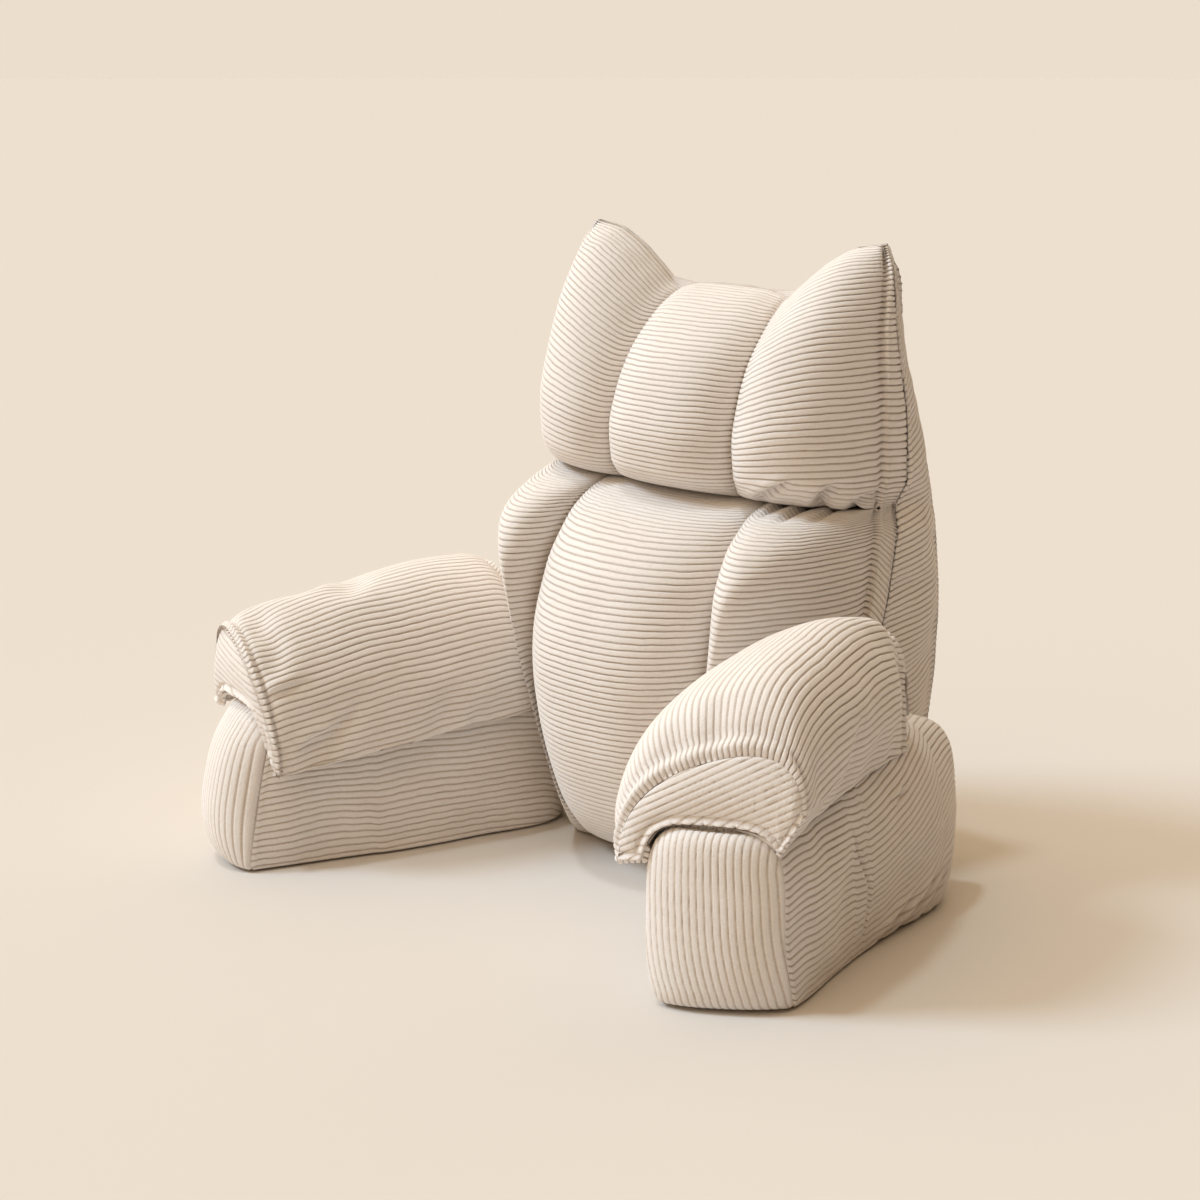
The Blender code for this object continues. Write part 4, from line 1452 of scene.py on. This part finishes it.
    def moon_panel(self, cover: Cover, edge: Array, s: float, share: float, way: Array) -> None:
        """Adds a half-moon end panel of the pad and sews it on.

        Args:
            cover: the pad's cover.
            edge: indices of the pad's ring there.
            s: place along the arm.
            share: place along the pad, 0 at its front end.
            way: the way that the panel looks.
        """
        w, z, side, over = self.pad_section(s, share)
        steps = int(round((side.max() - side.min()) / self.moon_step))
        upper = self.even(side, over, steps + 1)
        lower = self.even(np.concatenate([side[:1], w, side[-1:]]),
                          np.concatenate([over[:1], z, over[-1:]]), steps + 1)
        g = (0.008 + 0.984 * clustered(64))[:, None]
        inset, number = slice(1, steps), np.arange(1, steps)
        grid = (lower + g[..., None] * (upper - lower))[:, inset]
        w, z = grid[..., 0], grid[..., 1]
        thick = np.linalg.norm(upper - lower, axis=-1)[inset]
        rim = np.minimum(np.minimum(g, 1 - g) * thick, np.minimum(number, steps - number) * self.rim_step)
        at_front = share < 0.5
        swollen = self.moon_dome * (4 * g * (1 - g)) * ramp(0, 0.05, thick) - self.moon_inset * at_front
        base = self.place(s - swollen if at_front else s + swollen, w, z,
                          self.pad_set_back(w, z) if at_front else 0.0)
        wale = (z - (self.grain if at_front else 0.0) * w) / CORD.pitch
        profile = CORD.profile(wale)
        height = CORD.relief * (profile * left_by(rim, CORD.pinch, CORD.flattened) - 1)
        height += Seam.PLAIN.value.height(rim, profile)
        if at_front:
            rise, at, width = self.beads
            bead = self.bead_gap + (1 - self.bead_gap) * CORD.profile(number * self.moon_step / CORD.pitch)
            height += rise * bump(g * thick - at, width) * bead * ramp(0, 0.012, thick)
            rise, at, width = self.behind_beads
            height -= rise * bump(g * thick - at, width) * ramp(0, 0.020, thick)
        self.sew_panel(cover, edge, base, height, wale, w, way)

    def stuff_pad(self, form: Form) -> None:
        """Adds the wrinkles that stuffing gives to the pad."""
        count, around = form.points.shape[:2]
        lip = self.crown_steps - 1
        rows = np.concatenate([[0.0], np.linspace(6, count - 7, 34), [count - 1.0]])
        columns = np.concatenate([np.linspace(0, lip, 41), np.linspace(lip, around - 1, 8)[1:]])
        Filling(growth=0.045, cap=0.007).stuff("arm_pad_" + self.name, form, rows, columns,
                                               (rows < 1) | (rows > count - 2),
                                               (columns < 1) | (columns >= lip))


LEFT_ARM = Arm(
    "left", -1, front=(0.357, -0.279), splay=24.0, end_turn=5.0, girth=0.94, toe=-0.009, press=0.0127,
    pad=(0.008, 0.312), pad_shift=-0.003, pad_rise=-0.016, pad_puff=0.0, pad_dip=0.0,
    lip_in=(0.098, 0.128), lip_out=(0.142, 0.190), lean_back=0.028, dome=0.040, fan=0.0, pad_back=0.018,
    grain=0.16, foot_spread=0.024, foot_turn=0.0, stitched=0.0, roundness=2.6, foot_tuck=0.026, folds=(),
    pad_folds=(Tuck((0.060, 0.128), (0.104, 0.162), depth=0.0024, width=0.0046, lip=1.6),
               Tuck((0.034, 0.124), (0.074, 0.144), depth=0.0024, width=0.0042, lip=1.6),
               Tuck((0.012, 0.176), (0.052, 0.188), depth=0.0030, width=0.0042, lip=1.0)))
RIGHT_ARM = Arm(
    "right", 1, front=(0.249, -0.323), splay=10.5, end_turn=8.0, girth=1.04, toe=0.010, press=0.0025,
    pad=(-0.006, 0.262), pad_shift=-0.006, pad_rise=0.0, pad_puff=0.026, pad_dip=0.012,
    lip_in=(0.122, 0.138), lip_out=(0.178, 0.222), lean_back=0.0, dome=0.020, fan=0.07, pad_back=0.0,
    grain=0.55, foot_spread=0.0, foot_turn=0.20, stitched=0.160, roundness=12.0, foot_tuck=0.0,
    folds=(Tuck((0.198, 0.004), (0.256, 0.036), depth=0.0060, width=0.0042, lip=0.6),
           Tuck((0.236, 0.003), (0.300, 0.050), depth=0.0070, width=0.0046, lip=0.6),
           Tuck((0.276, 0.004), (0.338, 0.078), depth=0.0070, width=0.0046, lip=0.6),
           Tuck((0.222, 0.126), (0.240, 0.140), depth=0.0060, width=0.0030, lip=0.5)),
    pad_folds=())


# ---------------------------------------------------------------- finishes
class Tone:
    """A shader socket that can be used in sums."""

    def __init__(self, tree: bpy.types.NodeTree, socket: bpy.types.NodeSocket) -> None:
        """Wraps a socket of the tree."""
        self.tree, self.socket = tree, socket

    def math(self, operation: str, *values: "Tone | float") -> "Tone":
        """Adds a Math node on this value and the others."""
        inputs = {i: value for i, value in enumerate((self, *values))}
        return node(self.tree, "ShaderNodeMath", {"operation": operation}, inputs)

    def __add__(self, other: "Tone | float") -> "Tone":
        """The sum."""
        return self.math("ADD", other)

    def __mul__(self, other: "Tone | float") -> "Tone":
        """The product."""
        return self.math("MULTIPLY", other)

    def __sub__(self, other: "Tone | float") -> "Tone":
        """The difference."""
        return self.math("SUBTRACT", other)

    def __rsub__(self, other: float) -> "Tone":
        """A number less this value."""
        return (self * -1.0) + other

    __radd__ = __add__
    __rmul__ = __mul__


def node(tree: bpy.types.NodeTree, kind: str, settings: dict, inputs: dict, output: int | str = 0) -> Tone:
    """Adds one shader node.

    Args:
        tree: the material's nodes.
        kind: the node's type.
        settings: its own settings, set first.
        inputs: values or tones by socket name or number.
        output: which output is returned.

    Returns:
        The output as a tone.
    """
    made = tree.nodes.new(kind)
    for key, value in settings.items():
        setattr(made, key, value)
    for key, value in inputs.items():
        if isinstance(value, Tone):
            tree.links.new(value.socket, made.inputs[key])
        else:
            made.inputs[key].default_value = value
    return Tone(tree, made.outputs[output])


def noise(tree: bpy.types.NodeTree, place: Tone, scale: float, detail: float) -> Tone:
    """A noise of that scale and detail over the place."""
    return node(tree, "ShaderNodeTexNoise", {}, {"Vector": place, "Scale": scale, "Detail": detail}, "Fac")


def mixed(tree: bpy.types.NodeTree, share: Tone, low: "Tone | tuple", high: "Tone | tuple") -> Tone:
    """A colour between two, from low at share 0 to high at share 1."""
    return node(tree, "ShaderNodeMix", {"data_type": "RGBA", "clamp_factor": True},
                {0: share, 6: low, 7: high}, 2)


@dataclass(frozen=True)
class CorduroyFinish:
    """Cream cut-pile corduroy: pale wales, grooves darkened with painted shade, a fine uneven pile.

    Pile, tuft and patch each have a scale and a detail. The knit has a scale across the
    wales and one along them.
    """

    name: str = "cream_corduroy"
    crest: tuple[float, float, float, float] = (0.830, 0.775, 0.730, 1.0)
    # painted shade: the dark colour laid into the grooves in place of the shade inside them; the pile noise
    # also mixes towards it at random
    groove_shade: tuple[float, float, float, float] = (0.585, 0.480, 0.395, 1.0)
    rubbed: tuple[float, float, float, float] = (0.890, 0.850, 0.830, 1.0)
    roughness: float = 0.92
    sheen: float = 0.20
    sheen_tint: tuple[float, float, float, float] = (1.0, 0.97, 0.93, 1.0)
    pile: tuple[float, float] = (900.0, 3.0)
    tuft: tuple[float, float] = (260.0, 2.0)
    patch: tuple[float, float] = (22.0, 2.0)
    knit: tuple[float, float] = (2.2, 1100.0)

    def material(self) -> bpy.types.Material:
        """The cloth's material, made once and shared."""
        if self.name in bpy.data.materials:
            return bpy.data.materials[self.name]
        made = bpy.data.materials.new(self.name)
        made.use_nodes = True
        tree = made.node_tree
        tree.nodes.clear()
        place = node(tree, "ShaderNodeTexCoord", {}, {}, "Object")
        cord = node(tree, "ShaderNodeUVMap", {"uv_map": "cord"}, {})
        across = node(tree, "ShaderNodeSeparateXYZ", {}, {0: cord}, "X")
        along = node(tree, "ShaderNodeSeparateXYZ", {}, {0: cord}, "Y")
        turn = (across * (2 * math.pi)).math("COSINE")
        wale = turn * -0.5 + 0.5
        # painted shade mask: 1 at the bottom of each groove, 0 on the wales' backs
        groove_shade = (1.0 - wale).math("POWER", 6.0)
        knit = node(tree, "ShaderNodeCombineXYZ", {}, {0: across * self.knit[0], 1: along * self.knit[1]})
        rib = noise(tree, knit, 1.0, 1.0)
        pile, tuft, patch = (noise(tree, place, *grain) for grain in (self.pile, self.tuft, self.patch))
        # how far the colour goes towards the painted groove shade, with random pile, tuft and knit noise
        # added
        depth = groove_shade * 0.80 + (tuft - 0.5) * 0.35 + (pile - 0.5) * 0.25 + (rib - 0.5) * 0.55
        cloth = mixed(tree, depth, self.crest, self.groove_shade)
        worn = (patch - 0.42) * 1.6
        colour = mixed(tree, worn * wale, cloth, self.rubbed)
        nap = node(tree, "ShaderNodeBump", {}, {"Strength": 0.55, "Distance": 0.0008,
                                                "Height": pile * 0.5 + tuft * 0.8 + rib * 0.7}, 0)
        shader = node(tree, "ShaderNodeBsdfPrincipled", {}, {
            "Base Color": colour, "Roughness": (tuft - 0.5) * 0.08 + self.roughness, "Normal": nap,
            "Sheen Weight": self.sheen, "Sheen Roughness": 0.5, "Sheen Tint": self.sheen_tint,
            "Specular IOR Level": 0.25})
        output = tree.nodes.new("ShaderNodeOutputMaterial")
        tree.links.new(shader.socket, output.inputs["Surface"])
        return made


@dataclass(frozen=True)
class FloorFinish:
    """Plain warm pale floor."""

    name: str = "pale_floor"
    colour: tuple[float, float, float, float] = (0.675, 0.632, 0.588, 1.0)

    def material(self) -> bpy.types.Material:
        """The floor's material."""
        made = bpy.data.materials.new(self.name)
        made.use_nodes = True
        shader = made.node_tree.nodes["Principled BSDF"]
        shader.inputs["Base Color"].default_value = self.colour
        shader.inputs["Roughness"].default_value = 1.0
        shader.inputs["Specular IOR Level"].default_value = 0.0
        return made


# ---------------------------------------------------------------- the studio
@dataclass(frozen=True)
class Light:
    """A far light: where it stands, how strong, how soft and what colour."""

    name: str
    azimuth: float
    elevation: float
    strength: float
    softness: float
    colour: tuple[float, float, float]


@dataclass(frozen=True)
class Studio:
    """Camera, floor, soft lights from the left and a pale surround with a dark flag.

    The flag's way is given to the right of the camera, towards it and up.
    """

    azimuth: float = 35.8
    elevation: float = 13.0
    distance: float = 2.427
    target: tuple[float, float, float] = (-0.104, -0.09, 0.245)
    lens: float = 72.0
    floor_radius: float = 60.0
    lights: tuple[Light, ...] = (Light("key", -54.0, 42.0, 1.93, 18.0, (0.60, 0.81, 1.02)),
                                 Light("high", -40.0, 75.0, 0.57, 5.0, (0.84, 0.98, 1.06)))
    horizon: tuple[float, float, float, float] = (0.830, 0.730, 0.610, 1.0)
    overhead: tuple[float, float, float, float] = (1.14, 0.88, 0.59, 1.0)
    flagged: tuple[float, float, float, float] = (0.06, 0.038, 0.021, 1.0)
    flag_way: tuple[float, float, float] = (0.80, 0.60, -0.30)
    flag_edge: tuple[float, float] = (-0.05, 0.48)
    horizon_edge: tuple[float, float] = (0.05, 0.45)

    @staticmethod
    def way(azimuth: float, elevation: float) -> Vector:
        """Direction from the pillow towards a place seen at that azimuth and elevation."""
        a, e = math.radians(azimuth), math.radians(elevation)
        return Vector((math.sin(a) * math.cos(e), -math.cos(a) * math.cos(e), math.sin(e)))

    def camera(self) -> None:
        """Sets the camera at the photograph's viewing angle."""
        back = self.way(self.azimuth, self.elevation)
        a = math.radians(self.azimuth)
        right = Vector((math.cos(a), math.sin(a), 0))
        seat = Matrix((right, back.cross(right), back)).transposed().to_4x4()
        seat.translation = Vector(self.target) + back * self.distance
        camera = bpy.data.objects.new("camera", bpy.data.cameras.new("camera"))
        camera.data.lens, camera.data.sensor_width = self.lens, 36.0
        camera.matrix_world = seat
        bpy.context.scene.collection.objects.link(camera)
        bpy.context.scene.camera = camera

    def floor(self) -> None:
        """Adds a wide round floor."""
        bpy.ops.object.select_all(action="DESELECT")
        bpy.ops.mesh.primitive_circle_add(vertices=96, radius=self.floor_radius, fill_type="NGON",
                                          location=(0, 0, 0))
        floor = bpy.context.object
        floor.name = "floor"
        floor.data.materials.append(FloorFinish().material())

    def light(self) -> None:
        """Adds the lights."""
        for light in self.lights:
            data = bpy.data.lights.new(light.name, "SUN")
            data.energy, data.angle, data.color = light.strength, math.radians(light.softness), light.colour
            lamp = bpy.data.objects.new(light.name, data)
            way = self.way(light.azimuth, light.elevation)
            lamp.location = way * 3
            lamp.rotation_euler = way.to_track_quat("Z", "Y").to_euler()
            bpy.context.scene.collection.objects.link(lamp)

    def surround(self) -> None:
        """Adds the surround: paler at the horizon, and dark on the side of the flag."""
        world = bpy.data.worlds.new("surround")
        world.use_nodes = True
        tree = world.node_tree
        way = node(tree, "ShaderNodeTexCoord", {}, {}, "Generated")
        a = math.radians(self.azimuth)
        right, near, up = self.flag_way
        towards = (right * math.cos(a) + near * math.sin(a), right * math.sin(a) - near * math.cos(a), up)
        sideways = node(tree, "ShaderNodeVectorMath", {"operation": "DOT_PRODUCT"}, {0: way, 1: towards},
                        "Value")
        rise = node(tree, "ShaderNodeSeparateXYZ", {}, {0: way}, "Z")
        dark, high = (node(tree, "ShaderNodeMapRange", {"interpolation_type": "SMOOTHSTEP"},
                           {"Value": value, "From Min": low, "From Max": full})
                      for value, (low, full) in ((sideways, self.flag_edge), (rise, self.horizon_edge)))
        pale = mixed(tree, high, self.horizon, self.overhead)
        colour = mixed(tree, dark, pale, self.flagged)
        background = tree.nodes["Background"]
        tree.links.new(colour.socket, background.inputs["Color"])
        background.inputs["Strength"].default_value = 1.0
        bpy.context.scene.world = world


def main() -> None:
    """Builds the studio and the pillow's covers."""
    logging.basicConfig(level=logging.INFO, format="%(message)s")
    studio = Studio()
    studio.camera()
    studio.floor()
    studio.light()
    studio.surround()
    bpy.context.scene.view_settings.view_transform = "Standard"
    finish = CorduroyFinish()
    Wedge().cover().build(finish)
    for cushion in (LUMBAR, HEAD):
        cushion.cover().build(finish)
    for arm in (LEFT_ARM, RIGHT_ARM):
        arm.bolster_cover().build(finish)
        arm.pad_cover().build(finish)


if __name__ == "__main__":
    main()
